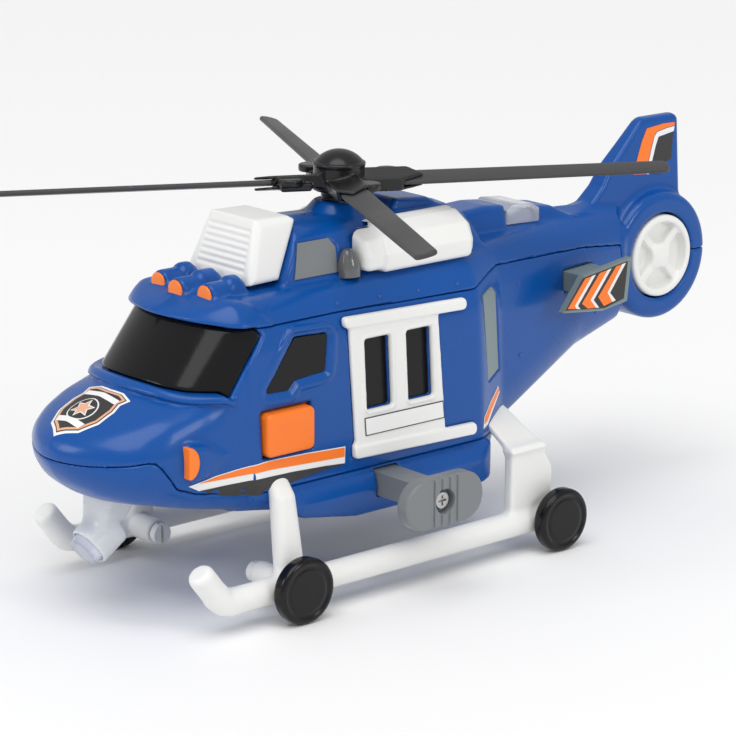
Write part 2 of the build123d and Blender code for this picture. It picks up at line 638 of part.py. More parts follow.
def battery_box():
    """Walls round the cells, standing on the belly and open at the battery door."""
    y0, y1 = BATTERY_MID - 25.5, BATTERY_MID + 25.5
    outer = box((-14.2, 14.2), (y0, y1), (FLOOR_Z + 0.5, BAY_ROOF[1]))
    cavity = box((-12.4, 12.4), (y0 + 2.0, y1 - 2.0), (FLOOR_Z - 2, BAY_ROOF[0]))
    return outer, cavity


DOOR_PLATE = ((-15.0, 15.0), (BATTERY_MID - 27.0, BATTERY_MID + 31.0))
DOOR_THICK = 1.6


def battery_door():
    """Flush door in the belly: a hook at the front, a pad for its screw behind the cells."""
    front = DOOR_PLATE[1][0]
    top = FLOOR_Z + DOOR_THICK
    plate = box(*DOOR_PLATE, (FLOOR_Z, top))
    hook = box((-5, 5), (front, front + 1.4), (top, top + 1.5))
    hook += box((-5, 5), (front - 1.6, front + 1.4), (top + 0.3, top + 1.5))
    pad = rod_z(FLOOR_Z, PAD_TOP, *DOOR_SCREW, 4.0)
    return plate + hook + pad - screw_room(*DOOR_SCREW, FLOOR_Z)


DOOR_SCREW = (0.0, BATTERY_MID + 27.6)
PAD_TOP = FLOOR_Z + 3.4
SHELL_SCREW_Z = 30.2
SHELL_SCREWS = [(x, y) for x in (-25.5, 25.5) for y in (-36.0, 24.0)]


SPEAKER_STATION, SPEAKER_Z, SPEAKER_RADIUS = -51.5, 32.0, 12.0


def speaker():
    """Frame ring and dished cone, facing the slots in the belly."""
    frame = rod_z(SPEAKER_Z, SPEAKER_Z + 2, 0, SPEAKER_STATION, SPEAKER_RADIUS)
    magnet = Pos(0, SPEAKER_STATION, SPEAKER_Z + 4) * Cone(SPEAKER_RADIUS, 7.0, 4.0)
    return frame + magnet


def leds():
    nose = SEARCHLIGHT * (Pos(0, 0, -1.4) * Cylinder(LED_RADIUS, 4.6))
    roof = rod_z(98.6, 103.2, *ROOF_LED, LED_RADIUS)
    return group([nose, roof])


CONTACT_STATION = BATTERY_MID + BATTERY_LENGTH / 2 + 0.6


def wire_run(*points):
    path = FilletPolyline(*points, radius=2.5)
    return sweep(Plane(origin=path @ 0, z_dir=path % 0) * Circle(0.6), path=path)


def wiring():
    runs = [
        wire_run((-10, -24, 45.4), (-10, -24, 52), (-2, -46, 52), (-2, -54, 38.6)),
        wire_run((10, -24, 45.4), (10, -24, 54), (10, BUTTON_MID[0], 56), (17, BUTTON_MID[0], 56)),
        wire_run((0, -24, 45.4), (0, -24, 55), (0, -84, 55), (0, -90.5, 40.0)),
        wire_run((0, 28, 45.4), (0, 28, 70), (0, 73, 84), (0, 73, 98.6)),
    ]
    runs += [rod_z(CONTACT_HEIGHTS[1], BOARD[2][0], x, CONTACT_STATION, 0.6) for x in (-6, 6)]
    return group(runs)


def screw_room(x, y, z0):
    """Room for a screw driven upwards: the head stands at z0 in a recess open below."""
    recess = rod_z(z0 - 12, z0 + SCREW_HEAD, x, y, SCREW_HEAD_RADIUS)
    return recess + rod_z(z0, z0 + SCREW_LENGTH, x, y, SCREW_RADIUS)


def screw():
    """A cross-head screw, head downwards at the origin."""
    head = Cylinder(SCREW_HEAD_RADIUS, SCREW_HEAD, align=(Align.CENTER, Align.CENTER, Align.MIN))
    shank = Cylinder(SCREW_RADIUS, SCREW_LENGTH, align=(Align.CENTER, Align.CENTER, Align.MIN))
    cross = Box(3.2, 0.7, 1.6) + Box(0.7, 3.2, 1.6)
    return head + shank - cross


def screws():
    y, z = STUB_CENTRE
    placed = [Pos(x, y0, SHELL_SCREW_Z) * screw() for x, y0 in SHELL_SCREWS]
    placed.append(Pos(*DOOR_SCREW, FLOOR_Z) * screw())
    for side in (1, -1):
        placed.append(Pos(side * (STUB_OUTER_X - 1.6), y, z) * Rot(0, -90 * side, 0) * screw())
    return group(placed)


# ---- the three blue mouldings -------------------------------------------------------------
def above(seam):
    return band(seam + [(seam[-1][0], 160), (seam[0][0], 160)], 70)


SEAM_Z = 38.2                      # level of the belly seam along the cabin


def belly_bosses():
    """Screw and board posts, speaker feet, switch post and the battery box."""
    outer, cavity = battery_box()
    bosses = outer - cavity + switch_post() + rod_z(PAD_TOP, 41.0, *DOOR_SCREW, 3.4)
    for x, y in SHELL_SCREWS:
        bosses += rod_z(FLOOR_Z, SEAM_Z, x, y, 3.6)
    for x in (-16.8, 16.8):
        for y in (-23.5, 27.5):
            bosses += rod_z(FLOOR_Z, BOARD[2][0], x, y, 1.6)
    for turn in range(0, 360, 90):
        foot = Pos(0, SPEAKER_STATION, 0) * Rot(0, 0, turn + 45) * Pos(10.2, 0, SPEAKER_Z - 2.8)
        bosses += foot * Cylinder(1.4, 5.6)
    return bosses


def belly_openings():
    below = FLOOR_Z - 6
    cutters = [box(*DOOR_PLATE, (below, FLOOR_Z + DOOR_THICK)), rod_z(below, PAD_TOP, *DOOR_SCREW, 4.0),
               battery_box()[1]]
    cutters += [screw_room(x, y, SHELL_SCREW_Z) for x, y in SHELL_SCREWS]
    cutters += [screw_room(*DOOR_SCREW, FLOOR_Z), battery_door()]
    slot = (SPEAKER_STATION - 6, SPEAKER_STATION + 6)
    cutters += [box((x - 0.6, x + 0.6), slot, (24, 31)) for x in range(-8, 9, 4)]
    cutters += [rod_z(BAY_ROOF[0] - 0.2, BAY_ROOF[1] + 0.2, x, CONTACT_STATION, 0.8) for x in (-6, 6)]
    return cutters


def screw_blocks():
    """Blocks on the inside of the cabin walls that take the belly screws."""
    blocks = []
    for x, y in SHELL_SCREWS:
        reach = (21.4, 31.5) if x > 0 else (-31.5, -21.4)
        blocks.append(box(reach, (y - 4, y + 4), (SEAM_Z, 46.0)))
    return blocks


def cut_all(shape, cutters):
    for cutter in cutters:
        shape = shape - cutter
    return shape


def both(pieces):
    return pieces + [mirrored(piece) for piece in pieces]


def hull_openings():
    port = [
        side_panel(COCKPIT_WINDOW, -4, 4, 0.8), side_panel(DOOR, -0.9, 4, 0.9),
        intake_panel(-1.6, 4), vent(-1.6, 4), marker_lens(),
        box((24, 60), *STUB_BAR), box((9.5, 40), (85.0, 100.6), (76.8, 83.4)),
        rod_x(FAN_WEB_HALF, 30, FAN_STATION, FAN_Z, FAN_RADIUS + 0.6), skid()]
    cutters = both(port + door_windows(-5, 5))
    cutters += [lamp_lens(x) for x in LAMP_XS]
    cutters += [band(WINDSCREEN_SIDE), beacon_lens(), searchlight_bracket()]
    cutters.append(rod_z(95, 105, *ROOF_LED, LED_RADIUS))
    cutters.append(push_button(BUTTON_GAP, 20, 45))
    cutters.append(rod_z(95, 130, 0, 0, SHAFT_RADIUS + RUNNING))
    cutters.append(rod_x(-20, 20, FAN_STATION, FAN_Z, FAN_AXLE_RADIUS + RUNNING))
    return cutters


def build_mouldings():
    """Belly pan, cabin shell and roof shell, and the uncut outer form they come from."""
    outside = mould_outside()
    skin = cut_all(outside - mould_inside(), hull_openings())
    over_belly, over_roof = above(BELLY_SEAM), above(ROOF_SEAM)
    belly = cut_all(skin - over_belly + (belly_bosses() & outside), belly_openings())
    cabin = (skin & over_belly) - over_roof
    for block in screw_blocks():
        cabin += block & outside
    cabin = cut_all(cabin, [screw_room(x, y, SHELL_SCREW_Z) for x, y in SHELL_SCREWS])
    for piece in both([skid()]):
        cabin = cabin - piece
        belly = belly - piece
    return outside, belly, cabin, skin & over_roof


def write_pair(name, port):
    write(f"{name}_left", port)
    write(f"{name}_right", mirrored(port))


def main():
    os.makedirs("parts", exist_ok=True)
    outside, belly, cabin, roof = build_mouldings()
    write("belly_pan", belly)
    write("cabin_shell", cabin)
    write("roof_shell", roof)

    cowl = engine_cowl() - outside
    write_pair("cockpit_window", cockpit_window())
    write_pair("door", door())
    write_pair("door_glass", door_glass())
    write_pair("engine_cowl", cowl)
    write_pair("intake_panel", intake_panel())
    write_pair("dome_lamp", dome_lamp() - outside - cowl)
    write_pair("vent", vent())
    write_pair("stub_bar", stub_bar())
    write_pair("stub_plate", stub_plate())
    write_pair("stabiliser", stabiliser())
    write_pair("skid", skid())
    write_pair("tail_fan", tail_fan())
    write("windscreen", windscreen())
    write("intake_scoop", intake_scoop() - outside)
    write("lamp_lenses", group([lamp_lens(x) for x in LAMP_XS] + both([marker_lens()])))
    write("beacon_lens", beacon_lens())
    write("searchlight_bracket", searchlight_bracket())
    write("searchlight_lens", searchlight_lens())

    for place, station in WHEEL_STATIONS.items():
        write_pair(f"wheel_{place}", wheel(station))
        write_pair(f"axle_pin_{place}", axle_pin(station, BOSS_INNER_X[place]))

    write("rotor_hub", rotor_hub())
    for name, angle in zip(BLADE_NAMES, BLADE_ANGLES):
        write(f"rotor_blade_{name}", blade_at(angle))
    write("rotor_shaft", rotor_shaft())
    write("rotor_clip", rotor_clip())
    write("fan_axle", fan_axle())

    write("push_button", button_with_flange())
    write("switch_body", switch_body())
    write("switch_plunger", switch_plunger())
    write("circuit_board", circuit_board())
    write("speaker", speaker())
    write("leds", leds())
    write("wiring", wiring())
    write("batteries", batteries())
    write("battery_contacts", battery_contacts())
    write("battery_door", battery_door())
    write("screws", screws())


if __name__ == "__main__":
    main()
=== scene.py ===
import json
import math
from functools import reduce
from itertools import product
import bpy
import numpy as np
from mathutils import Matrix, Vector
from mathutils.bvhtree import BVHTree
from mathutils.geometry import delaunay_2d_cdt

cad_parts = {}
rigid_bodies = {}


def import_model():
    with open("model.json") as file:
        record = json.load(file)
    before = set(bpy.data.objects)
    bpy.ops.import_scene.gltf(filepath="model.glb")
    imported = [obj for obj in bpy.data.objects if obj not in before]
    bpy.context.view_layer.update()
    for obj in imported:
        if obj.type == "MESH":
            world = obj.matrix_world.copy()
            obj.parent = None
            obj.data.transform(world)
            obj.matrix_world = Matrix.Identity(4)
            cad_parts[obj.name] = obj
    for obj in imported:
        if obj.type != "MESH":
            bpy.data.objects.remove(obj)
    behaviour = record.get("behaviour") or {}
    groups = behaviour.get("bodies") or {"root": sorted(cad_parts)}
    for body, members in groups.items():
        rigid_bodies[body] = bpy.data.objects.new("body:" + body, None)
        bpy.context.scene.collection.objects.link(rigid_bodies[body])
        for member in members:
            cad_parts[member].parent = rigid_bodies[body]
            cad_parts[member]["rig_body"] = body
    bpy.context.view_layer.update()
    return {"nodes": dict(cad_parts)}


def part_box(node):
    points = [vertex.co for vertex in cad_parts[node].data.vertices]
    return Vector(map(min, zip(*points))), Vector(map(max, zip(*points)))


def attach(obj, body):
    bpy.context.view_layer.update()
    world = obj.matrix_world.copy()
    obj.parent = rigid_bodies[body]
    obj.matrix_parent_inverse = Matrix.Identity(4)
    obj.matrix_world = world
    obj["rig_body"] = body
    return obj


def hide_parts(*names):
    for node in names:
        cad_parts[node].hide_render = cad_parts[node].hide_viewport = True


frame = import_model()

# Toy helicopter, looks. Shapes are worked out in millimetres as signed distance fields on grids,
# negative inside, with stations along Y counted from the rotor mast as in the CAD. Each field is
# meshed and written in metres in the row frame. +X is the port side; its mirror is starboard.
MM = 0.001
ROTOR_LOW, ROTOR_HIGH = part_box("rotor_shaft")
MAST_Y = (ROTOR_LOW[1] + ROTOR_HIGH[1]) / 2 / MM
FINE = 0.5        # cell of the small mouldings, mm
COARSE = 0.8       # cell of the hull, mm

HULL_HALVES = (("left", False), ("right", True))      # name ending, and whether it is mirrored

# Measures shared by several pieces, mm
SIDE_X, SIDE_Z = 33.0, 38.0               # foot of the leaning cabin side
SIDE_TOP_X, SIDE_TOP_Z = 29.5, 86.5       # head of it
LEAN = math.atan2(SIDE_X - SIDE_TOP_X, SIDE_TOP_Z - SIDE_Z)
WALL = 2.6                                # thickness of the hull
MAST_TOP_Z = 116.8
ROTOR_Z = 122.6
BLADE_PITCH = 14.0
BLADES = {"one": 332.55, "two": 62.55, "three": 152.55, "four": 242.55}
FAN_STATION, FAN_Z, FAN_RADIUS = 140.0, 79.6, 14.5
WHEEL_STATIONS = {"front": -53.8, "rear": 55.4}
WHEEL_RADIUS = 10.5
BUTTON_LOW, BUTTON_HIGH = (-57.0, 49.3), (-38.0, 63.0)      # station and height
BUTTON_PLAY = 0.4
MARKER_STATION, MARKER_Z = -85.6, 53.0
SHAPES = {}                               # points and quads of the single mouldings, by name


# ---- distance fields
def meet(a, b, soft=0.0):
    """Where both fields are inside; soft rounds the edge between them."""
    if soft <= 0:
        return np.maximum(a, b)
    h = np.clip(soft - np.abs(a - b), 0, None) / soft
    return np.maximum(a, b) + h * h * (soft / 4)


def join(a, b, soft=0.0):
    return -meet(-a, -b, soft)


def cut(a, b, soft=0.0):
    return meet(a, -b, soft)


def meet_all(fields, soft=0.0):
    return reduce(lambda a, b: meet(a, b, soft), fields)


def join_all(fields, soft=0.0):
    return reduce(lambda a, b: join(a, b, soft), fields)


def polygon(u, v, points):
    """Signed distance to a closed outline, negative inside."""
    best, inside = None, None
    for (ax, ay), (bx, by) in zip(points, points[1:] + points[:1]):
        ex, ey = bx - ax, by - ay
        wx, wy = u - ax, v - ay
        t = np.clip((wx * ex + wy * ey) / (ex * ex + ey * ey), 0, 1)
        far = (wx - ex * t) ** 2 + (wy - ey * t) ** 2
        crosses = ((v >= ay) != (v >= by)) & ((ey * wx - ex * wy) * np.sign(ey) < 0)
        best = far if best is None else np.minimum(best, far)
        inside = crosses if inside is None else inside ^ crosses
    return np.where(inside, -1, 1) * np.sqrt(best)


def inset(points, depth):
    """The closed outline moved inwards by depth, each corner kept."""
    count = len(points)
    area = sum(points[i][0] * points[(i + 1) % count][1] - points[(i + 1) % count][0] * points[i][1]
               for i in range(count))
    turn = math.copysign(1, area)
    lines = []
    for i in range(count):
        (ax, ay), (bx, by) = points[i], points[(i + 1) % count]
        length = math.hypot(bx - ax, by - ay)
        nx, ny = -turn * (by - ay) / length, turn * (bx - ax) / length
        lines.append((nx, ny, nx * ax + ny * ay + depth))
    moved = []
    for i in range(count):
        (a, b, c), (d, e, f) = lines[i - 1], lines[i]
        cross = a * e - b * d
        if abs(cross) < 1e-9:
            moved.append((points[i][0] + a * depth, points[i][1] + b * depth))
        else:
            moved.append(((c * e - b * f) / cross, (a * f - c * d) / cross))
    return moved


def rounded(u, v, points, radius):
    return polygon(u, v, inset(points, radius)) - radius


def slab(value, middle, half):
    return np.abs(value - middle) - half


def rectangle(low, high):
    return [low, (high[0], low[1]), high, (low[0], high[1])]


def block(x, y, z, low, high, soft=0.0):
    """A box between two corners, its edges rounded by soft."""
    return meet_all([slab(value, (a + b) / 2, (b - a) / 2)
                     for value, a, b in zip((x, y, z), low, high)], soft)


def drum(a, b, along, radius, low, high, soft=0.0):
    """A round bar: a and b are measured from its axis, along runs from low to high."""
    side = np.sqrt(a * a + b * b) - radius
    ends = slab(along, (low + high) / 2, (high - low) / 2)
    return meet(side, ends, soft)


def segment(a, b, c, start, end, radius):
    """A rod with round ends between two points."""
    px, py, pz = a - start[0], b - start[1], c - start[2]
    ex, ey, ez = (end[i] - start[i] for i in range(3))
    t = np.clip((px * ex + py * ey + pz * ez) / (ex * ex + ey * ey + ez * ez), 0, 1)
    return np.sqrt((px - ex * t) ** 2 + (py - ey * t) ** 2 + (pz - ez * t) ** 2) - radius


def turned(a, b, degrees):
    """The two coordinates as seen by something turned by that angle."""
    c, s = math.cos(math.radians(degrees)), math.sin(math.radians(degrees))
    return a * c + b * s, b * c - a * s


# ---- from a field to a mesh
class Space:
    """A grid of points between two corners, as broadcastable coordinate arrays; ax is |x|."""

    def __init__(self, low, high, cell):
        self.cell = cell
        self.low = np.array(low, float) - 2.3 * cell
        count = np.ceil((np.array(high, float) - self.low) / cell).astype(int) + 4
        axes = [self.low[i] + cell * np.arange(count[i], dtype=np.float32) for i in range(3)]
        self.x, self.y, self.z = np.meshgrid(*axes, indexing="ij", sparse=True)
        self.ax = np.abs(self.x)
        self.shape = tuple(count)

    def full(self, field):
        return np.ascontiguousarray(np.broadcast_to(field, self.shape), dtype=np.float32)


def sample(field, q):
    """The field's value at grid positions q, between the grid's points."""
    q = np.clip(q, 0, np.array(field.shape) - 1.001)
    i = q.astype(int)
    f = q - i
    total = np.zeros(len(q))
    for dx, dy, dz in product((0, 1), repeat=3):
        share = np.abs(1 - dx - f[:, 0]) * np.abs(1 - dy - f[:, 1]) * np.abs(1 - dz - f[:, 2])
        total += share * field[i[:, 0] + dx, i[:, 1] + dy, i[:, 2] + dz]
    return total


def slope(field, q):
    """The field's gradient at grid positions q."""
    out = np.zeros((len(q), 3))
    for axis in range(3):
        step = np.zeros(3)
        step[axis] = 0.5
        out[:, axis] = sample(field, q + step) - sample(field, q - step)
    return out


def corners_of(cells, axis, b, c):
    """Grid indices of the two ends of each cell's edge along axis."""
    start = cells.copy()
    start[:, (axis + 1) % 3] += b
    start[:, (axis + 2) % 3] += c
    end = start.copy()
    end[:, axis] += 1
    return start, end


def surface(space, field):
    """Vertices (mm), quads and outward normals of the field's zero surface."""
    field = space.full(field)
    inside = field < 0
    count = np.zeros(tuple(n - 1 for n in field.shape), np.int8)
    for dx, dy, dz in product((0, 1), repeat=3):
        count += inside[dx:dx + count.shape[0], dy:dy + count.shape[1], dz:dz + count.shape[2]]
    active = (count > 0) & (count < 8)
    cells = np.argwhere(active)
    index = np.full(active.shape, -1, np.int32)
    index[active] = np.arange(len(cells))
    place, hits = np.zeros((len(cells), 3)), np.zeros(len(cells))
    for axis, b, c in product(range(3), (0, 1), (0, 1)):
        start, end = corners_of(cells, axis, b, c)
        d0, d1 = field[tuple(start.T)], field[tuple(end.T)]
        crossed = (d0 < 0) != (d1 < 0)
        t = d0[crossed] / (d0[crossed] - d1[crossed])
        point = (start[crossed] - cells[crossed]).astype(float)
        point[:, axis] += t
        place[crossed] += point
        hits[crossed] += 1
    q = cells + place / hits[:, None]
    for _ in range(2):
        g = slope(field, q)
        size = np.maximum((g * g).sum(1), 0.04)
        move = g * (sample(field, q) / size)[:, None]
        q = q - np.clip(move, -0.3, 0.3)
    normals = slope(field, q)
    normals /= np.maximum(np.linalg.norm(normals, axis=1), 1e-9)[:, None]
    quads = []
    for axis in range(3):
        u, v = (axis + 1) % 3, (axis + 2) % 3
        cut_here = [slice(1, n - 1) for n in field.shape]
        cut_here[axis] = slice(0, field.shape[axis] - 1)
        next_here = list(cut_here)
        next_here[axis] = slice(1, field.shape[axis])
        here, there = inside[tuple(cut_here)], inside[tuple(next_here)]
        for flip, mask in ((False, here & ~there), (True, there & ~here)):
            base = np.argwhere(mask) + 1
            base[:, axis] -= 1
            ring = []
            for b, c in ((-1, -1), (0, -1), (0, 0), (-1, 0)):
                cell = base.copy()
                cell[:, u] += b
                cell[:, v] += c
                ring.append(index[tuple(cell.T)])
            quads.append(np.stack(ring[::-1] if flip else ring, axis=1))
    return space.low + q * space.cell, np.concatenate(quads), normals


def mesh_object(name, points, faces, normals=None, mirror=False):
    """A smooth-shaded mesh in the row frame from points in mm; mirror flips it to the other side."""
    points = np.array(points, float)
    faces = np.array(faces)
    if mirror:
        points = points * (-1, 1, 1)
        faces = faces[:, ::-1]
    points = (points + (0, MAST_Y, 0)) * MM
    mesh = bpy.data.meshes.new(name)
    mesh.vertices.add(len(points))
    mesh.vertices.foreach_set("co", points.astype(np.float32).ravel())
    mesh.loops.add(faces.size)
    mesh.loops.foreach_set("vertex_index", faces.astype(np.int32).ravel())
    mesh.polygons.add(len(faces))
    width = faces.shape[1]
    mesh.polygons.foreach_set("loop_start", np.arange(len(faces), dtype=np.int32) * width)
    mesh.polygons.foreach_set("use_smooth", np.ones(len(faces), bool))
    mesh.update(calc_edges=True)
    mesh.validate()
    if normals is not None:
        normals = normals * (-1, 1, 1) if mirror else normals
        mesh.normals_split_custom_set_from_vertices([tuple(n) for n in normals])
    made = bpy.data.objects.new(name, mesh)
    bpy.context.scene.collection.objects.link(made)
    return made


def mould(name, space, field, material, node):
    """Meshes a field as one piece that stands for a CAD node."""
    points, quads, normals = surface(space, field)
    SHAPES[name] = (points, quads)
    dress(mesh_object(name, points, quads, normals), material, node)


def mould_pair(name, space, field, material, node):
    """The port piece and its mirror image; the node is named without _left or _right."""
    points, quads, normals = surface(space, field)
    for end, mirror in HULL_HALVES:
        made = mesh_object(f"{name}_{end}", points, quads, normals, mirror)
        dress(made, material, f"{node}_{end}")


def dress(made, material, node=None):
    """Gives a piece its material, hides the CAD node it stands for, and puts the piece on that node's body to
    ride on.
    """
    made.data.materials.append(material)
    if node is None:
        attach(made, "fuselage")
        return
    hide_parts(node)
    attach(made, frame["nodes"][node]["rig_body"])


# ---- materials
def nodes_of(name):
    """A new material, its node tree and its main shader."""
    material = bpy.data.materials.new(name)
    material.use_nodes = True
    tree = material.node_tree
    return material, tree, tree.nodes["Principled BSDF"]


def link(tree, a, out, b, into):
    tree.links.new(a.outputs[out], b.inputs[into])


def put(node, values):
    for name, value in values.items():
        node.inputs[name].default_value = value


def colour_mix(tree, first, second, by, out):
    """A colour node from first (a colour, or a node to take colour from) to second."""
    made = tree.nodes.new("ShaderNodeMix")
    made.data_type = "RGBA"
    put(made, {7: (*second, 1)})
    if isinstance(first, tuple):
        put(made, {6: (*first, 1)})
    else:
        link(tree, first, 2, made, 6)
    link(tree, by, out, made, "Factor")
    return made


def noise(tree, scale, detail=3.0):
    """Noise in the object's own metres, so scale is about the number of blobs in a metre."""
    place = tree.nodes.new("ShaderNodeTexCoord")
    made = tree.nodes.new("ShaderNodeTexNoise")
    put(made, {"Scale": scale, "Detail": detail})
    link(tree, place, "Object", made, "Vector")
    return made


def spread(tree, source, low, high):
    """The source's 0.3..0.7 range stretched to low..high."""
    made = tree.nodes.new("ShaderNodeMapRange")
    put(made, {"From Min": 0.3, "From Max": 0.7, "To Min": low, "To Max": high})
    link(tree, source, "Fac", made, "Value")
    return made


def edge_highlight_mask(tree, edge):
    """How much painted highlight an edge gets (0 to 1), and the normal to light it with, if any."""
    geometry = tree.nodes.new("ShaderNodeNewGeometry")
    highlight_amount = tree.nodes.new("ShaderNodeMapRange")
    if edge <= 0:
        put(highlight_amount, {"From Min": 0.53, "From Max": 0.62})
        link(tree, geometry, "Pointiness", highlight_amount, "Value")
        return highlight_amount, None
    soft = tree.nodes.new("ShaderNodeBevel")
    soft.samples = 4
    put(soft, {"Radius": edge * MM})
    apart = tree.nodes.new("ShaderNodeVectorMath")
    apart.operation = "DOT_PRODUCT"
    link(tree, soft, "Normal", apart, 0)
    link(tree, geometry, "Normal", apart, 1)
    put(highlight_amount, {"From Min": 0.98, "From Max": 0.80})
    link(tree, apart, "Value", highlight_amount, "Value")
    return highlight_amount, soft


def plastic(name, colour, rough=0.35, tone=0.06, grain=900.0, bump=0.02, coat=0.0, wear=0.25,
            edge=0.0, transmission=0.0, metal=0.0, shine=0.5):
    """Moulded plastic: slow tone changes, fine grain, softened edges with a painted highlight along them."""
    material, tree, shader = nodes_of(name)
    slow = noise(tree, 28.0)
    fine = noise(tree, grain, 2.0)
    dark = tuple(c * (1 - tone) for c in colour)
    light = tuple(min(1, c * (1 + tone)) for c in colour)
    shades = colour_mix(tree, dark, light, slow, "Fac")
    highlight_amount, soft = edge_highlight_mask(tree, edge)
    put(highlight_amount, {"To Max": wear})
    # The edges are blended towards a paler tint, which is a painted highlight along them.
    highlight_tint = tuple(c * 0.75 + 0.2 for c in colour)
    highlit_colour = colour_mix(tree, shades, highlight_tint, highlight_amount, "Result")
    link(tree, highlit_colour, 2, shader, "Base Color")
    link(tree, spread(tree, slow, rough * 0.85, rough * 1.2), "Result", shader, "Roughness")
    relief = tree.nodes.new("ShaderNodeBump")
    put(relief, {"Strength": bump, "Distance": 0.2 * MM})
    link(tree, fine, "Fac", relief, "Height")
    if soft is not None:
        link(tree, soft, "Normal", relief, "Normal")
    link(tree, relief, "Normal", shader, "Normal")
    put(shader, {"Coat Weight": coat, "Coat Roughness": 0.06, "Specular IOR Level": shine,
                 "Transmission Weight": transmission, "Metallic": metal})
    return material


SET_EDGE = 0.35      # softening of the edges of pieces kept from the CAD, mm
BLUE_TINT = (0.001, 0.074, 0.33)
WHITE_TINT = (0.84, 0.84, 0.82)
ORANGE_TINT = (1.0, 0.20, 0.012)
LENS_TINT = (1.0, 0.21, 0.012)
GREY_TINT = (0.19, 0.205, 0.215)
JET_TINT = (0.008, 0.008, 0.009)
# In these finishes and the materials below, the amount that pales the edges is a painted edge highlight.
GLOSS = {"rough": 0.26, "coat": 0.12, "bump": 0.05, "grain": 500, "wear": 0.10}
GREY_FINISH = {"rough": 0.38, "wear": 0.12, "bump": 0.2}
PRINT = {"rough": 0.42, "wear": 0, "bump": 0.08}

BLUE = plastic("gloss_blue", BLUE_TINT, shine=0.3, **GLOSS)
BLUE_SET = plastic("gloss_blue_set", BLUE_TINT, shine=0.35, edge=SET_EDGE, **GLOSS)
WHITE = plastic("satin_white", WHITE_TINT, rough=0.36, tone=0.02, wear=0.0, bump=0.05)
WHITE_SET = plastic("satin_white_set", WHITE_TINT, rough=0.36, tone=0.02, wear=0.0, edge=SET_EDGE)
ORANGE_LENS = plastic("lens_orange", LENS_TINT, rough=0.22, tone=0.04, wear=0.05, bump=0.04)
BUTTON_ORANGE = plastic("button_orange", ORANGE_TINT, rough=0.33, tone=0.04, wear=0.12, bump=0.05)
GLASS_BLACK = plastic("window_black", JET_TINT, rough=0.10, wear=0.0, shine=0.22)
GLOSS_BLACK = plastic("wheel_black", (0.006, 0.006, 0.007), rough=0.18, coat=0.1, wear=0.04,
                      bump=0.05, shine=0.25)
HUB_BLACK = plastic("hub_black", JET_TINT, rough=0.28, coat=0.2, wear=0.2, bump=0.15, shine=0.3)
BLADE_GREY = plastic("blade_grey", (0.055, 0.055, 0.058), rough=0.40, bump=0.25, grain=1200, shine=0.3)
MID_GREY = plastic("mid_grey", GREY_TINT, **GREY_FINISH)
MID_GREY_SET = plastic("mid_grey_set", GREY_TINT, edge=SET_EDGE, **GREY_FINISH)
GREY_GREEN = plastic("grey_green", (0.19, 0.245, 0.25), rough=0.40, wear=0.12, bump=0.2, edge=SET_EDGE)
SMOKY = plastic("smoky_clear", (0.16, 0.165, 0.17), rough=0.10, transmission=0.3, coat=0.5, wear=0.0,
                edge=SET_EDGE)
CLEAR = plastic("clear_plastic", (0.80, 0.84, 0.97), rough=0.06, transmission=0.7, coat=0.3, wear=0.0,
                edge=SET_EDGE)
FROSTED = plastic("frosted_white", (0.78, 0.80, 0.83), rough=0.25, transmission=0.15, coat=0.2,
                  wear=0.0, bump=0.05)
STEEL = plastic("zinc_steel", (0.50, 0.50, 0.49), rough=0.32, metal=1.0, wear=0.1, edge=0.15)
CELL = plastic("cell_sleeve", (0.03, 0.03, 0.035), rough=0.3, coat=0.4, edge=SET_EDGE)
BOARD = plastic("solder_mask", (0.01, 0.10, 0.04), edge=SET_EDGE)
WIRE = plastic("wire_insulation", (0.5, 0.01, 0.01), rough=0.45, edge=0.1)
STICKER_ORANGE = plastic("sticker_orange", ORANGE_TINT, tone=0.03, **PRINT)
STICKER_WHITE = plastic("sticker_white", (0.86, 0.86, 0.85), tone=0.02, **PRINT)
STICKER_SAND = plastic("sticker_sand", (0.80, 0.42, 0.26), tone=0.05, **PRINT)
STICKER_BLACK = plastic("sticker_black", (0.030, 0.029, 0.029), rough=0.5, tone=0.12, wear=0, bump=0.08)

# ---- hull outlines
# Each station: the +X half of its section as X, Z from the keel to the crown. Outlines: Y, Z.
NOSE = [
    (-113.5, [(0, 50), (3, 50), (5, 51.5), (6.5, 54), (5.5, 56.2), (3, 57.4), (0, 57.8)]),
    (-112.0, [(0, 47.3), (5, 47.3), (8.5, 49.5), (10.4, 53.5), (9.2, 57), (5, 59), (0, 59.6)]),
    (-109.0, [(0, 44), (8, 44), (13.4, 47), (16.4, 53), (14.6, 58.2), (9, 60.9), (0, 61.8)]),
    (-104.0, [(0, 40.3), (11, 40.3), (19.5, 43.8), (24, 52.8), (20.2, 60), (12, 63.4), (0, 64.4)]),
    (-98.0, [(0, 37.4), (12, 37.4), (24, 41.8), (28.8, 52.4), (24.2, 62.2), (15, 65.8), (0, 67.2)]),
    (-90.0, [(0, 35.4), (13.5, 35.4), (26.5, 39.4), (31, 50.5), (27.2, 64.4), (18, 68.4), (0, 70.2)]),
    (-80.0, [(0, 33.2), (16, 33.2), (28.4, 37), (32.2, 47), (29, 66.6), (21, 70.6), (0, 73)]),
    (-60.0, [(0, 29.5), (19, 29.5), (30, 33.3), (32.9, 40), (30.6, 70), (25, 74), (0, 76)]),
]
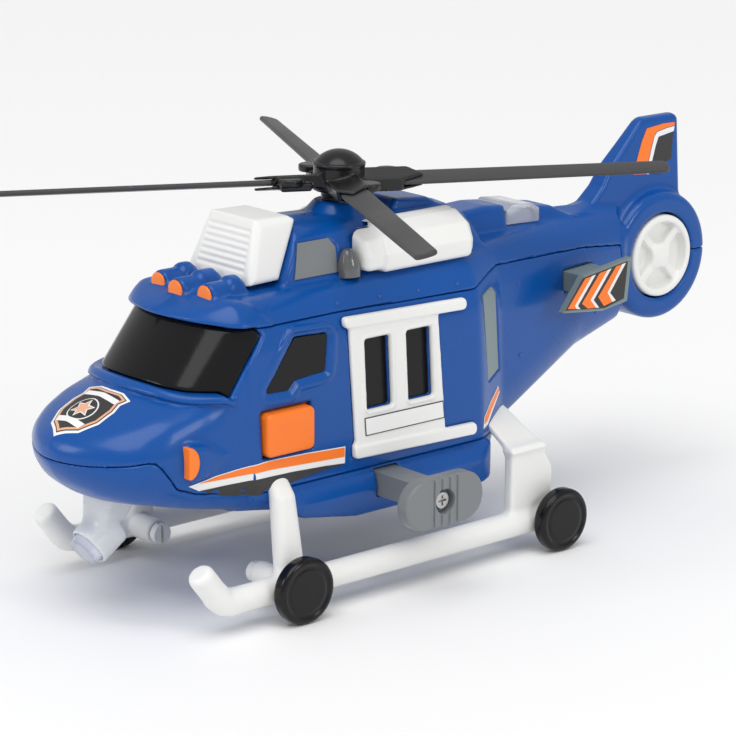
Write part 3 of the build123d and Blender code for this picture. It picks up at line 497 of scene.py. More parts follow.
CABIN = [
    (-62.0, [(0, 29.7), (19, 29.7), (30, 33.5), (33, 39), (29.5, 86.5), (23, 95.5), (0, 97.5)]),
    (-46.0, [(0, 27.4), (21, 27.4), (31, 30.8), (33, 38), (29.5, 86.5), (23, 96), (0, 98.5)]),
    (-38.0, [(0, 25.4), (22, 25.4), (31, 28.6), (33, 38), (29.5, 86.5), (23, 96), (0, 98.6)]),
    (-20.0, [(0, 20), (23, 20), (31, 22.8), (33, 38), (29.5, 86.5), (23, 96.2), (0, 98.8)]),
    (34.0, [(0, 20), (23, 20), (31, 22.8), (33, 38), (29.5, 86.5), (23, 97), (0, 99.5)]),
    (41.0, [(0, 20), (20, 20), (27, 22.6), (29.3, 40), (26.4, 86.5), (21.3, 97.2), (0, 100.6)]),
    (44.0, [(0, 29), (17, 29), (24, 31), (27.6, 42), (25.1, 86.5), (20.4, 97.3), (0, 101)]),
    (50.0, [(0, 35), (15, 35), (21, 37), (24.5, 44), (22.5, 86.5), (19, 97.5), (0, 102)]),
    (97.0, [(0, 52.5), (7, 52.5), (11, 54.5), (15, 62), (14.5, 89), (10, 98.5), (0, 101.5)]),
    (121.0, [(0, 58), (4, 58), (8, 60), (10.4, 66), (10.4, 88), (7, 97), (0, 100)]),
]
COCKPIT = [
    (-92.0, [(0, 60), (21, 60), (30, 62), (31.3, 64), (29.5, 86.5), (23, 89.6), (0, 90.6)]),
    (-74.0, [(0, 60), (21, 60), (30, 62), (31.3, 64), (29.5, 86.5), (23, 90), (0, 91.4)]),
    (-61.0, [(0, 60), (21, 60), (30, 62), (31.3, 64), (29.5, 86.5), (23, 95.5), (0, 97.5)]),
]
HOUSING = [
    (-38.0, [(0, 90), (10, 90), (17, 92), (18.5, 98), (15.2, 110.5), (12, 113.8), (0, 115)]),
    (40.0, [(0, 90), (10, 90), (17, 92), (18.5, 98), (15.2, 109), (12, 111), (0, 112)]),
    (48.0, [(0, 90), (10, 90), (17, 92), (17.5, 98), (14, 103), (11, 105), (0, 106)]),
]
BELLY_SEAM = [(-125, 52.3), (-110, 52.4), (-104, 53.1), (-97, 54.1), (-94.6, 53.8), (-92.6, 51.8),
              (-87.4, 44.7), (-81, 42.2), (-57, 38.2), (180, 38.2)]
ROOF_SEAM = [(-135, 90.3), (-72, 90.3), (-67.4, 89.9), (-60, 89.0), (-50, 88.4), (-24, 88.6),
             (33, 87.3), (50, 91.4), (97, 89.2), (118.5, 86.5), (118.6, FAN_Z), (180, FAN_Z)]
WINDSCREEN_SIDE = [(-94, 75.4), (-85.2, 73.2), (-81.6, 71.9), (-78, 71.3), (-70.2, 70.9),
                   (-67.9, 69.0), (-54.7, 86.7), (-56.4, 89.0), (-63.8, 89.1), (-67.4, 89.8),
                   (-72, 90.4), (-94, 90.4)]
WINDSCREEN_FOOT = (-85.2, 73.2)
COCKPIT_WINDOW = [(-55.2, 68.8), (-46.0, 68.4), (-43.2, 71.1), (-31.2, 71.9), (-29.6, 83.4),
                  (-42.6, 84.0)]
DOOR = [(-23.8, 87.5), (27.2, 86.1), (27.2, 82.3), (15.6, 82.4), (16.9, 45.3), (29.8, 45.1),
        (29.8, 41.2), (-21.8, 42.5), (-21.8, 46.6), (-20.8, 47.8), (-21.6, 83.2), (-23.8, 84.8)]
DOOR_WINDOWS = [rectangle((-15.7, 57.0), (-5.2, 79.3)), rectangle((1.6, 57.0), (12.0, 79.3))]
DOOR_RAILS = [[(-23.8, 83.9), (27.2, 82.3), (27.2, 86.1), (-23.8, 87.5)],
              [(-21.8, 42.5), (29.8, 41.2), (29.8, 45.1), (-21.8, 46.6)]]
FIN = [(103, 98), (110, 101), (115.5, 106), (119.5, 112), (134.5, 126.4), (136.5, 127.4),
       (152.0, 127.4), (153.6, 125.8), (153.6, 96), (128, 88)]
SCOOP = [(-49.5, 98.0), (-37.2, 98.4), (-27.2, 115.9), (-29.5, 117.2), (-43.2, 117.6)]
VENT = [(4.0, 22.6), (11.4, 24.0), (14.6, 21.6), (15.4, -4.0), (6.0, -6.0)]
INTAKE_PANEL = [(-33.0, 0.6), (-15.4, 0.6), (-15.0, 8.6), (-17.4, 11.6), (-29.6, 11.6)]
STUB_CENTRE = (-8.1, 32.6)
LAMP_XS = (-11.5, 0.0, 11.5)
LAMP_Z = 96.8


def eased(stations, index, part, y, blur):
    """One corner coordinate of the section along y, its changes eased over blur mm."""
    step = 0.25
    line = np.arange(-140.0, 180.0, step)
    known = [s[0] for s in stations]
    values = np.interp(line, known, [s[1][index][part] for s in stations])
    kernel = np.hanning(int(blur / step) * 2 + 1)
    padded = np.pad(values, len(kernel) // 2, mode="edge")
    smooth = np.convolve(padded, kernel / kernel.sum(), mode="valid")
    return np.interp(y, line, smooth).astype(np.float32)


def sections(s, stations, soft, blur):
    """Distance to a body through symmetric sections: the largest of its edges' distances."""
    corners = [[eased(stations, i, part, s.y, blur) for part in (0, 1)] for i in range(7)]
    sides = []
    for (x0, z0), (x1, z1) in zip(corners, corners[1:]):
        length = np.sqrt((x1 - x0) ** 2 + (z1 - z0) ** 2)
        sides.append(((s.ax - x0) * (z1 - z0) - (s.z - z0) * (x1 - x0)) / length)
    return meet_all(sides, soft)


def windscreen_wedge(s, proud=0.0):
    """The sloping, curved front that the windscreen and the brow follow."""
    half, turn_x, turn_y, rear_y = 31.0, 28.0, 14.1, 21.0
    bow = (turn_x ** 2 + turn_y ** 2) / (2 * turn_y)
    y = s.y - 0.8 * (s.z - WINDSCREEN_FOOT[1]) - WINDSCREEN_FOOT[0]
    front = np.sqrt(s.x ** 2 + np.minimum(y - bow, 0) ** 2) - bow
    dx, dy = half - turn_x, rear_y - turn_y
    corner = ((s.ax - turn_x) * dy - (y - turn_y) * dx) / math.hypot(dx, dy)
    wedge = meet(front, corner, 5.0)
    return meet(wedge * 0.82, s.ax - half, 2.0) - proud


def above(s, seam):
    """Negative over a seam that runs along the side."""
    over = seam + [(seam[-1][0], 200), (seam[0][0], 200)]
    return polygon(s.y, s.z, over)


def side_depth(s):
    """Distance out from the flat leaning cabin side, on both sides alike."""
    return (s.ax - SIDE_X) * math.cos(LEAN) + (s.z - SIDE_Z) * math.sin(LEAN)


def cockpit_form(s):
    """The sloping front of the cabin over the hood, under the brow."""
    return meet(meet(sections(s, COCKPIT, 3.5, 3.0), windscreen_wedge(s), 1.5), s.y + 50.0)


def cabin_form(s):
    rear = meet(sections(s, CABIN, 3.5, 3.0), s.y - 121.0, 1.5)
    return meet(rear, -61.0 - s.y)


def fin_form(s):
    outline = rounded(s.y, s.z, FIN, 1.2)
    taper = s.ax - (4.6 - (s.z - 96) * 0.072)
    return meet(outline, taper, 1.6)


def housing_form(s):
    """The engine housing, its front following the back of the intake scoop."""
    (y0, z0), (y1, z1) = SCOOP[1], SCOOP[2]
    front = rounded(s.y, s.z, [(y0, z0 - 30), (y0, z0), (y1, z1), (y1, 130), (60, 130), (60, z0 - 30)], 0.4)
    body = meet(sections(s, HOUSING, 3.0, 3.0), s.y - 48.0, 3.0)
    return meet(body, front, 1.5)


def sponson_form(s):
    """The bulge along the foot of the cabin side."""
    low = [(-54, 34), (-43, 27.6), (-20, 23.2), (33, 23.2), (38, 25), (38, 37.4), (-54, 37)]
    widest_x, widest_z = 35.4, 32.0
    outline = polygon(s.y, s.z, low)
    level = np.abs(s.z - widest_z)
    bulge = s.ax - (widest_x - np.where(s.z > widest_z, 0.40, 0.32) * level)
    ends = s.ax - widest_x + np.clip(-43 - s.y, 0, None) * 0.24 + np.clip(s.y - 31, 0, None) * 0.42
    return meet(meet(outline, bulge, 1.2), ends, 1.5)


def on_slant(s):
    """Along, up and out from the slanted faces behind the doors, on both sides alike."""
    along, up, out = (-0.4336, 0.9011, 0), (-0.0447, -0.0215, 0.9988), (0.9011, 0.4336, 0.0496)
    place = (s.ax - 31.3, s.y - 34, s.z - 62)
    return [sum(part * share for part, share in zip(place, way)) for way in (along, up, out)]


def on_housing(s):
    """Along, up and out from the leaning sides of the engine housing."""
    lean = math.atan2(3.3, 12.5)
    out, up = turned(s.ax - 18.5, s.z - 98, math.degrees(lean))
    return s.y, up, out


def recess(place, outline, floor, grow=0.25):
    """The room for a flush panel, open outwards from its floor."""
    along, up, out = place
    return meet(polygon(along, up, outline) - grow, floor - out)


def lamp_station(x):
    return -65.0 if x == 0 else -62.8


def roof_lamps(s):
    """Three round lamp pods along the front edge of the roof, each with a cap behind it."""
    lamps = []
    for x in LAMP_XS:
        front = lamp_station(x)
        pod = drum(s.x - x, s.z - LAMP_Z, s.y, 4.0, front, -49.5, 1.0)
        cap = drum(s.x - x, s.z - LAMP_Z - 1.4, s.y, 3.8, front + 7.0, -50.4, 1.8)
        lamps.append(join(pod, cap, 0.6))
    return join_all(lamps, 0.6)


def top_details(s):
    """What stands on the roof behind the rotor, and the cone under the mast."""
    hump = meet(polygon(s.y, s.z, [(11, 106), (17, 115.9), (31, 114.6), (43, 108.4), (43, 104)]),
                s.ax - 8.5, 2.0)
    ridge = meet(polygon(s.y, s.z, [(38, 90), (40, 106.9), (58, 107.8), (66, 107.0), (66, 90)]),
                 s.ax - 9.0 + np.clip(s.z - 101, 0, None) * 0.25, 2.0)
    tail = meet(polygon(s.y, s.z, [(81, 90), (81, 104.8), (88.5, 103.8), (97.5, 99.0), (97.5, 90)]),
                s.ax - 8.0 + np.clip(s.z - 99, 0, None) * 0.25, 1.5)
    round_xy = np.sqrt(s.x ** 2 + s.y ** 2)
    cone = meet(round_xy - (8.0 + np.clip(MAST_TOP_Z - s.z, 0, None) * 0.85), s.z - MAST_TOP_Z, 1.0)
    cone = meet(cone, 108 - s.z)
    field = join(join(hump, ridge, 1.0), tail, 0.5)
    return join(field, cone, 2.5)


def brow(s):
    """The raised edge of the roof over the windscreen."""
    strip = polygon(s.y, s.z, [(-84, 89.9), (-72, 90.4), (-67.4, 89.9), (-63.8, 89.2), (-56.4, 89.1),
                               (-50, 89.1), (-58, 98.0), (-61, 97.9), (-74.5, 92.0), (-84, 91.8)])
    grown = sections(s, COCKPIT, 3.5, 3.0) - 0.9
    return meet(meet(meet(grown, windscreen_wedge(s, 2.4), 1.4), strip, 1.2), s.y + 50.0)


def sill(s):
    """The raised lip of the hood along the foot of the windscreen."""
    strip = polygon(s.y, s.z, [(-95, 72.6), (-87, 70.4), (-82, 69.0), (-77, 68.6), (-70, 68.3), (-66.4, 66.4),
                               (-65.6, 68.6), (-67.4, 69.3), (-69.9, 71.2), (-78, 71.6), (-81.6, 72.2),
                               (-85.2, 73.5), (-95, 75.8)])
    return meet(meet(windscreen_wedge(s, 2.0), strip, 1.2), s.ax - 31.2, 1.0)


def marker_fairing(s):
    """The raised drop shape that carries the marker lamp on the nose."""
    teardrop = polygon(s.y, s.z, [(-84.8, 46.6), (-84.8, 58.2), (-79, 57.6), (-69, 52.6), (-78, 47.4)])
    out = s.ax - (33.4 - np.clip(s.y + 84.8, 0, None) * 0.13)
    return meet(teardrop, out, 2.2)


def fan_ring(s):
    return drum(s.y - FAN_STATION, s.z - FAN_Z, s.x, 22.5, -9.5, 9.5, 3.4)


def hood_form(s):
    nose = meet(sections(s, NOSE, 5.0, 4.0), -113.4 - s.y, 3.0)
    return meet(nose, s.y + 58.0)


def marker_oval(s, half_length, half_height):
    """The outline of the marker lamps seen from the side."""
    away = np.sqrt(((s.y - MARKER_STATION) / half_length) ** 2 + ((s.z - MARKER_Z) / half_height) ** 2)
    return (away - 1) * half_length


def outer_form(s):
    """The whole outside of the hull before anything is cut from it."""
    hull = join(hood_form(s), cabin_form(s), 1.2)
    added = ((cockpit_form, 1.0), (sill, 0.8), (brow, 1.2), (housing_form, 2.0), (top_details, 1.2),
             (roof_lamps, 1.6), (sponson_form, 1.0), (marker_fairing, 1.2), (fan_ring, 2.0),
             (fin_form, 2.2))
    for form, soft in added:
        hull = join(hull, form(s), soft)
    return hull


def hull_openings(s, side):
    """Fields to cut from the hull, each with the softness of its edge."""
    through = meet(s.ax - 60, -7.0 - side)
    in_fan = (s.y - FAN_STATION, s.z - FAN_Z)
    low = [c - BUTTON_PLAY for c in BUTTON_LOW]
    high = [c + BUTTON_PLAY for c in BUTTON_HIGH]
    button = meet(polygon(s.y, s.z, rectangle(low, high)), meet(20 - s.x, -8 - side))
    marker = meet(meet(marker_oval(s, 3.9, 5.3), -86.2 - s.y), 32.6 - s.ax)
    stub = block(s.ax, s.y, s.z, (24, -13.2, 28.9), (60, -3.0, 37.1))
    stabiliser = block(s.ax, s.y, s.z, (9.5, 84.8, 76.6), (40, 100.8, 83.6))
    openings = [
        (polygon(s.y, s.z, WINDSCREEN_SIDE), 0.8),
        (meet(rounded(s.y, s.z, COCKPIT_WINDOW, 0.6), through), 1.0),
        (meet(rounded(s.y, s.z, DOOR, 0.8), -0.9 - side), 0.6),
        (button, 0.8),
        (stub, 0.5),
        (marker, 0.3),
        (recess(on_slant(s), VENT, -0.9), 0.5),
        (recess(on_housing(s), INTAKE_PANEL, -0.9), 0.5),
        (stabiliser, 0.8),
        (drum(*in_fan, s.ax, 15.1, 3.4, 30, 0.5), 1.2),
        (drum(s.x, s.y, s.z, 2.6, 95, 130), 0.4),
        (drum(*in_fan, s.x, 1.6, -20, 20), 0.0),
    ]
    return openings + [(meet(rounded(s.y, s.z, window, 1.0), through), 0.6) for window in DOOR_WINDOWS]


def hull_mouldings():
    """Belly pan, cabin shell and roof shell: one hollow form parted along its two seams."""
    s = Space((-37, -115, 18), (37, 163.5, 128.5), COARSE)
    form = outer_form(s)
    side = side_depth(s)
    frame_ring = np.abs(rounded(s.y, s.z, COCKPIT_WINDOW, 0.6) - 2.6) - 0.9
    form = join(form, meet(meet(frame_ring, side - 0.45, 0.6), -2.0 - side), 0.8)
    for field, soft in hull_openings(s, side):
        form = cut(form, field, soft)
    skin = cut(form, room_inside(s))
    over_belly, over_roof = above(s, BELLY_SEAM), above(s, ROOF_SEAM)
    gap, soft = 0.06, 0.35
    mould("belly_pan_hull", s, meet(skin, -over_belly + gap, soft), BLUE, "belly_pan")
    cabin = meet(meet(skin, over_belly + gap, soft), -over_roof + gap, soft)
    mould("cabin_hull", s, cabin, BLUE, "cabin_shell")
    mould("roof_hull", s, meet(skin, over_roof + gap, soft), BLUE, "roof_shell")


def room_inside(s):
    """The room inside the hull: the plain body without its small raised shapes."""
    housing = meet(housing_form(s), s.y - 46.0)
    room = join_all([hood_form(s), cabin_form(s), cockpit_form(s), housing])
    room = steady(s, room) + WALL
    bearing = drum(s.x, s.y, s.z, 7.0, 101.8, 140)
    return meet(cut(room, bearing), s.y - 116.0)


def steady(s, field):
    """The field divided by its slope, so that its values are true distances."""
    field = s.full(field)
    gx, gy, gz = np.gradient(field, s.cell)
    return field / np.clip(np.sqrt(gx * gx + gy * gy + gz * gz), 0.5, 2.5)


# ---- pieces set into the hull
def windscreen():
    s = Space((-31.5, -88, 67), (31.5, -52, 92), FINE)
    wedge = windscreen_wedge(s)
    skin = meet(wedge + 0.35, -1.8 - wedge, 0.5)
    outline = polygon(s.y, s.z, WINDSCREEN_SIDE) + 0.3
    mould("windscreen_glass", s, meet(skin, outline, 0.8), GLASS_BLACK, "windscreen")


def door():
    s = Space((26, -25.5, 39), (36, 34, 89.5), FINE)
    side = side_depth(s)
    leaf = meet(rounded(s.y, s.z, inset(DOOR, 0.1), 0.9), np.abs(side) - 0.8, 0.5)
    for outline in DOOR_RAILS:
        rail = rounded(s.y, s.z, outline, 1.7)
        leaf = join(leaf, meet(rail, slab(side, 0.7, 1.0), 0.7), 0.4)
    for window in DOOR_WINDOWS:
        hole = rounded(s.y, s.z, window, 0.9)
        leaf = cut(leaf, hole, 0.7)
        frame_line = meet(slab(hole, 0.9, 0.45), slab(side, 0.9, 0.35), 0.3)
        leaf = join(leaf, frame_line, 0.4)
    mould_pair("door_leaf", s, leaf, WHITE, "door")


def intake_scoop():
    """The white box over the windscreen, with ribs across its sloping face."""
    s = Space((-17.2, -50.5, 96.5), (17.2, -26, 118.5), FINE)
    side = s.ax - (16.7 - (s.z - 97.0) * 0.24)
    form = meet(meet(polygon(s.y, s.z, SCOOP), side, 2.6), polygon(s.y, s.z, SCOOP) + 0.05, 0.6)
    (y0, z0), (y1, z1) = SCOOP[0], SCOOP[4]
    length = math.hypot(y1 - y0, z1 - z0)
    up = ((s.y - y0) * (y1 - y0) + (s.z - z0) * (z1 - z0)) / length
    deep = ((s.y - y0) * (z1 - z0) - (s.z - z0) * (y1 - y0)) / length
    first, last, pitch = 3.4, 17.7, 2.05
    ribs = (0.5 - 0.5 * np.cos((up - first) * (2 * math.pi / pitch))) * ((up > first) & (up < last))
    band = np.clip((12.4 - 0.12 * up - s.ax) / 0.8, 0, 1)
    form = form + 0.42 * ribs * band * np.clip(2.0 - deep, 0, 1)
    form = cut(form, meet(meet(polygon(s.y, s.z, inset(SCOOP, 2.2)), s.ax - 9.0), 97 - s.z))
    mould("intake_scoop_cover", s, form, WHITE, "intake_scoop")


def engine_cowl():
    """White cover on each side of the housing: a long body with a smaller step at its ends."""
    s = Space((11, -10, 96), (26, 39, 113.5), FINE)
    outline = [(11, 100), (19, 97.0), (24.4, 97.2), (24.8, 103), (22.4, 108.4), (17, 111.6), (11, 112.6)]
    body = meet(rounded(s.x, s.z, outline, 1.8), slab(s.y, 17.0, 19.0), 2.2)
    ends = meet(rounded(s.x, s.z, inset(outline, 0.9), 1.8), slab(s.y, 14.3, 23.3), 3.0)
    seat = polygon(s.x, s.z, [(10, 94), (14.2, 94), (16.6, 99), (16.6, 110.2), (14.6, 111.6), (10, 111.6)])
    mould_pair("engine_cover", s, cut(join(body, ends, 0.4), seat), WHITE, "engine_cowl")


def push_button():
    """Rounded cap on a wider flange that keeps it inside the hull."""
    s = Space((27, -60, 46), (35, -34.5, 66), FINE)
    cap = meet(rounded(s.y, s.z, rectangle(BUTTON_LOW, BUTTON_HIGH), 2.0), slab(s.x, 30.9, 3.3), 1.6)
    low, high = [c - 1.8 for c in BUTTON_LOW], [c + 1.8 for c in BUTTON_HIGH]
    flange = block(s.x, s.y, s.z, (27.4, *low), (28.6, *high), 0.3)
    mould("push_button_cap", s, join(cap, flange), BUTTON_ORANGE, "push_button")


def lamp_lenses():
    """Half-disc lenses in the roof lamps and the half-oval marker lamps on the nose."""
    s = Space((-34.5, -88.5, 46), (34.5, -61, 102), FINE)
    lenses = []
    for x in LAMP_XS:
        front = lamp_station(x)
        disc = drum(s.x - x, s.z - LAMP_Z, s.y, 3.5, front - 0.8, front - 0.05, 0.4)
        lenses.append(meet(disc, LAMP_Z - 2.6 - s.z, 0.4))
    oval = marker_oval(s, 3.6, 5.0)
    lenses.append(meet(meet(oval, -85.9 - s.y), slab(s.ax, 30.9, 2.4), 0.6))
    mould("lamp_lens_set", s, join_all(lenses), ORANGE_LENS, "lamp_lenses")


# ---- hanging gear
def tapered(s, levels, y_mids, x_mids, halves_x, halves_y, soft):
    """An upright post whose middle and half sizes are given at each of its levels."""
    x_mid, y_mid = np.interp(s.z, levels, x_mids), np.interp(s.z, levels, y_mids)
    half_x, half_y = np.interp(s.z, levels, halves_x), np.interp(s.z, levels, halves_y)
    sides = meet(slab(s.x, x_mid, half_x), slab(s.y, y_mid, half_y), soft)
    low, high = levels[0], levels[-1]
    return meet(sides, slab(s.z, (low + high) / 2, (high - low) / 2), 0.6)


def skid():
    """The rail with its upturned front, the front strut, and the rear strut with its arm."""
    s = Space((19.5, -93.5, 5), (45, 65, 46), FINE * 1.3)
    rail_x, rail_radius, rail_end, pin_bore = 39.9, 4.15, 60.0, 2.7
    line = [(64.2, 9.9), (-76.4, 9.9), (-79.3, 10.7), (-81.6, 12.7), (-91.0, 25.0)]
    rods = [segment(s.x, s.y, s.z, (rail_x, *a), (rail_x, *b), rail_radius) for a, b in zip(line, line[1:])]
    lip = ((s.y + 88.4) * -0.6 + (s.z - 21.6) * 0.8) - 0.1
    tube = meet(meet(join_all(rods, 0.8), lip, 2.4), s.y - rail_end, 2.0)
    front = tapered(s, (9.9, 36.5, 43.0), (-52.6, -51.0, -51.0), (39.4, 33.4, 29.6), (3.3, 2.9, 2.2),
                    (5.2, 4.3, 3.7), 3.4)
    rear = meet(rounded(s.y, s.z, [(38.5, 9), (57, 9), (57, 27), (53.2, 33), (53.2, 36), (38.5, 36)], 1.6),
                slab(s.x, 39.5, 2.1), 1.4)
    arm = tapered(s, (34.6, 45.0), (45.8, 45.8), (39.9, 21.0), (2.3, 2.1), (7.2, 6.0), 1.0) * 0.5
    body = join(join(join(tube, front, 2.4), rear, 2.0), arm, 1.6)
    for place, radius, inner in (("front", 4.1, 26.0), ("rear", 5.0, 35.2)):
        y, z = s.y - WHEEL_STATIONS[place], s.z - WHEEL_RADIUS
        body = join(body, drum(y, z, s.x, radius, inner, 44.4, 1.0), 0.8)
    for station in WHEEL_STATIONS.values():
        body = cut(body, drum(s.y - station, s.z - WHEEL_RADIUS, s.x, pin_bore, 20, 50))
    mould_pair("skid_frame", s, body, WHITE, "skid")


def wheels():
    """Four discs alike, each dished outside with a raised middle and bored for its pin."""
    s = Space((44, -11, 0), (50.5, 11, 21.5), FINE * 0.8)
    z = s.z - WHEEL_RADIUS
    radius = np.sqrt(s.y ** 2 + z ** 2)
    inner_face, outer_face, pin_bore = 44.75, 49.75, 2.6
    disc = drum(s.y, z, s.x, WHEEL_RADIUS, inner_face, outer_face, 1.8)
    dish = meet(meet(radius - 8.3, outer_face - 0.5 - s.x, 0.5), s.x - 52)
    disc = cut(disc, dish, 0.5)
    disc = join(disc, meet(radius - 7.2, slab(s.x, 47.5, 2.0), 1.0), 0.5)
    disc = cut(disc, drum(s.y, z, s.x, pin_bore, 44, 48.2))
    points, quads, normals = surface(s, disc)
    for (place, station), (end, mirror) in product(WHEEL_STATIONS.items(), HULL_HALVES):
        node = f"wheel_{place}_{end}"
        made = mesh_object(f"{node}_disc", points + (0, station, 0), quads, normals, mirror)
        dress(made, GLOSS_BLACK, node)


def stub_plate():
    """The grooved end plate of the stub wing, with the seat of its screw."""
    s = Space((55, -25, 23.5), (61.5, 9, 41.5), FINE * 0.7)
    y, z = s.y - STUB_CENTRE[0], s.z - STUB_CENTRE[1]
    straight, round_end, groove_floor = 8.0, 8.0, 60.0
    flat = np.sqrt(np.clip(np.abs(y) - straight, 0, None) ** 2 + z ** 2) - round_end
    plate = meet(flat, slab(s.x, 58.1, 2.5), 1.0)
    for shift in (-4.8, -1.6, 1.6, 4.8):
        groove = meet(slab(y, shift, 0.42), groove_floor - s.x)
        plate = cut(plate, groove, 0.15)
    head_seat, screw_hole = 3.9, 1.5
    plate = cut(plate, drum(y, z, s.x, head_seat, 57.4, 62, 0.2), 0.4)
    plate = cut(plate, drum(y, z, s.x, screw_hole, 50, 62))
    mould_pair("stub_pad", s, plate, MID_GREY, "stub_plate")


def searchlight():
    """Square stem under the nose and the tilted round barrel that holds the lens."""
    s = Space((-8, -103, 17.5), (8, -82, 41.5), FINE)
    level = np.clip((s.z - 29.5) / 8.5, 0, 1)
    y_mid = -94.0 + 3.5 * level
    stem = meet(meet(s.ax - (5.5 + 2.0 * level), np.abs(s.y - y_mid) - (4.6 + 1.8 * level), 2.5),
                slab(s.z, 33.5, 4.8), 0.5)
    barrel_station, barrel_z, barrel_tilt = -95.4, 24.8, -56
    radius, lens_seat, lamp_bore = 6.6, 5.7, 2.6
    y, z = turned(s.y - barrel_station, s.z - barrel_z, barrel_tilt)
    body = join(stem, drum(s.x, y, z, radius, -5.4, 5.5, 1.2), 1.6)
    body = cut(body, drum(s.x, y, z, lens_seat, -9, -4.3), 0.4)
    body = cut(body, drum(s.x, y, z, lamp_bore, -9, 0.9))
    mould("searchlight_housing", s, body, FROSTED, "searchlight_bracket")


# ---- rotor and tail fan
def rotor_blades():
    """One blade along +X, slightly cambered, then turned to its four angles."""
    s = Space((10.5, -4.6, -1.5), (109.4, 4.6, 1.5), FINE * 0.8)
    root, tip_centre, tip_radius = 11.0, 105.0, 5.0
    half = np.interp(s.x, (root, 24, 109), (4.0, 4.2, 3.5))
    camber = 0.25 * (1 - (s.y / 4.2) ** 2)
    flat = meet(np.abs(s.y) - half, slab(s.z, camber, 0.85), 0.9)
    tip = drum(s.x - tip_centre, s.y, s.z, tip_radius, -3, 3)
    ends = join(tip, s.x - tip_centre)
    blade = meet(meet(flat, ends, 0.6), root - s.x)
    points, quads, normals = surface(s, blade)
    tilt = Matrix.Rotation(math.radians(BLADE_PITCH), 3, "X")
    for name, angle in BLADES.items():
        turn = np.array(Matrix.Rotation(math.radians(angle), 3, "Z") @ tilt)
        made = mesh_object(f"blade_{name}", points @ turn.T + (0, 0, ROTOR_Z), quads, normals @ turn.T)
        dress(made, BLADE_GREY, f"rotor_blade_{name}")


def blade_gap(s, angle):
    """The slot that a blade's root fills in the hub."""
    x, y = turned(s.x, s.y, angle)
    y, z = turned(y, s.z - ROTOR_Z, BLADE_PITCH)
    return block(x, y, z, (10.9, -4.3, -1.3), (60, 4.3, 1.3))


def rotor_hub():
    """Domed head on a ribbed collar, with four pitched arms that each carry a round pad."""
    s = Space((-28, -28, 116.5), (28, 28, 133.2), FINE)
    radius = np.sqrt(s.x ** 2 + s.y ** 2)
    hub = meet(radius - 8.2, slab(s.z, 124.3, 4.6), 0.8)
    dome = np.sqrt(s.x ** 2 + s.y ** 2 + (s.z - 122.9) ** 2) - 9.9
    dome = meet(meet(dome, 127.5 - s.z), radius - 7.6, 0.3)
    rim = meet(radius - 8.5, slab(s.z, 128.3, 0.55), 0.6)
    collar = meet(radius - 5.6 - 0.25 * np.cos(s.z * 5.2), slab(s.z, 118.8, 1.9), 0.4)
    hub = join(join(join(hub, dome, 0.3), rim, 0.5), collar, 0.6)
    arm = [(4, -5.0), (19, -5.2), (27.5, -1.6), (23, 4.6), (4, 5.0)]
    pad_along, pad_across, pad_radius, shaft_bore = 17.0, 5.4, 4.0, 2.5
    for angle in BLADES.values():
        x, y = turned(s.x, s.y, angle)
        yt, zt = turned(y, s.z - ROTOR_Z, BLADE_PITCH)
        plate = meet(rounded(x, yt, arm, 0.6), np.abs(zt) - 2.2, 0.6)
        pad = drum(x - pad_along, y - pad_across, s.z - ROTOR_Z, pad_radius, 0.0, 2.5, 0.8)
        root = block(x, y, s.z - ROTOR_Z, (10, 1.5, -1.8), (20, 6.5, 0.6), 0.6)
        hub = join(hub, join(join(plate, pad, 0.3), root, 0.5), 0.8)
    for angle in BLADES.values():
        hub = cut(hub, blade_gap(s, angle), 0.2)
    hub = cut(hub, drum(s.x, s.y, s.z, shaft_bore, 110, 127))
    mould("rotor_head", s, hub, HUB_BLACK, "rotor_hub")


def tail_fan():
    """The dished disc on each side of the fin, with four spokes."""
    s = Space((3.5, FAN_STATION - 15, FAN_Z - 15), (10.5, FAN_STATION + 15, FAN_Z + 15), FINE)
    y, z = s.y - FAN_STATION, s.z - FAN_Z
    radius = np.sqrt(y * y + z * z)
    disc = drum(y, z, s.x, FAN_RADIUS - 0.1, 3.95, 9.9, 1.2)
    disc = cut(disc, meet(radius - 11.9, 5.6 - s.x, 1.6), 0.8)
    spokes = drum(y, z, s.x, 4.0, 4.2, 9.0, 1.0)
    for angle in (45, 135):      # two bars through the middle make the four spokes
        along, across = turned(y, z, angle)
        rise = 8.9 - 0.05 * np.abs(along)
        blade = meet(meet(np.abs(across) - 1.55, np.abs(along) - 12.6), s.x - rise, 0.8)
        spokes = join(spokes, meet(blade, 4.2 - s.x), 2.2)
    disc = join(disc, spokes, 1.4)
    axle_bore = 1.5
    disc = cut(disc, drum(y, z, s.x, axle_bore, 0, 8.1))
    mould_pair("tail_fan_disc", s, disc, WHITE, "tail_fan")


# ---- stickers and rivets
OUTSIDE, OVER_HOOD = 60, 90      # X and Z where the rays onto the hull start


def hull_tree():
    """The three hull mouldings as one surface to lay stickers and rivets on, in mm."""
    points, quads, start = [], [], 0
    for name in ("belly_pan_hull", "cabin_hull", "roof_hull"):
        p, q = SHAPES[name]
        points.append(p)
        quads.append(q + start)
        start += len(p)
    return BVHTree.FromPolygons(np.concatenate(points).tolist(), np.concatenate(quads).tolist())


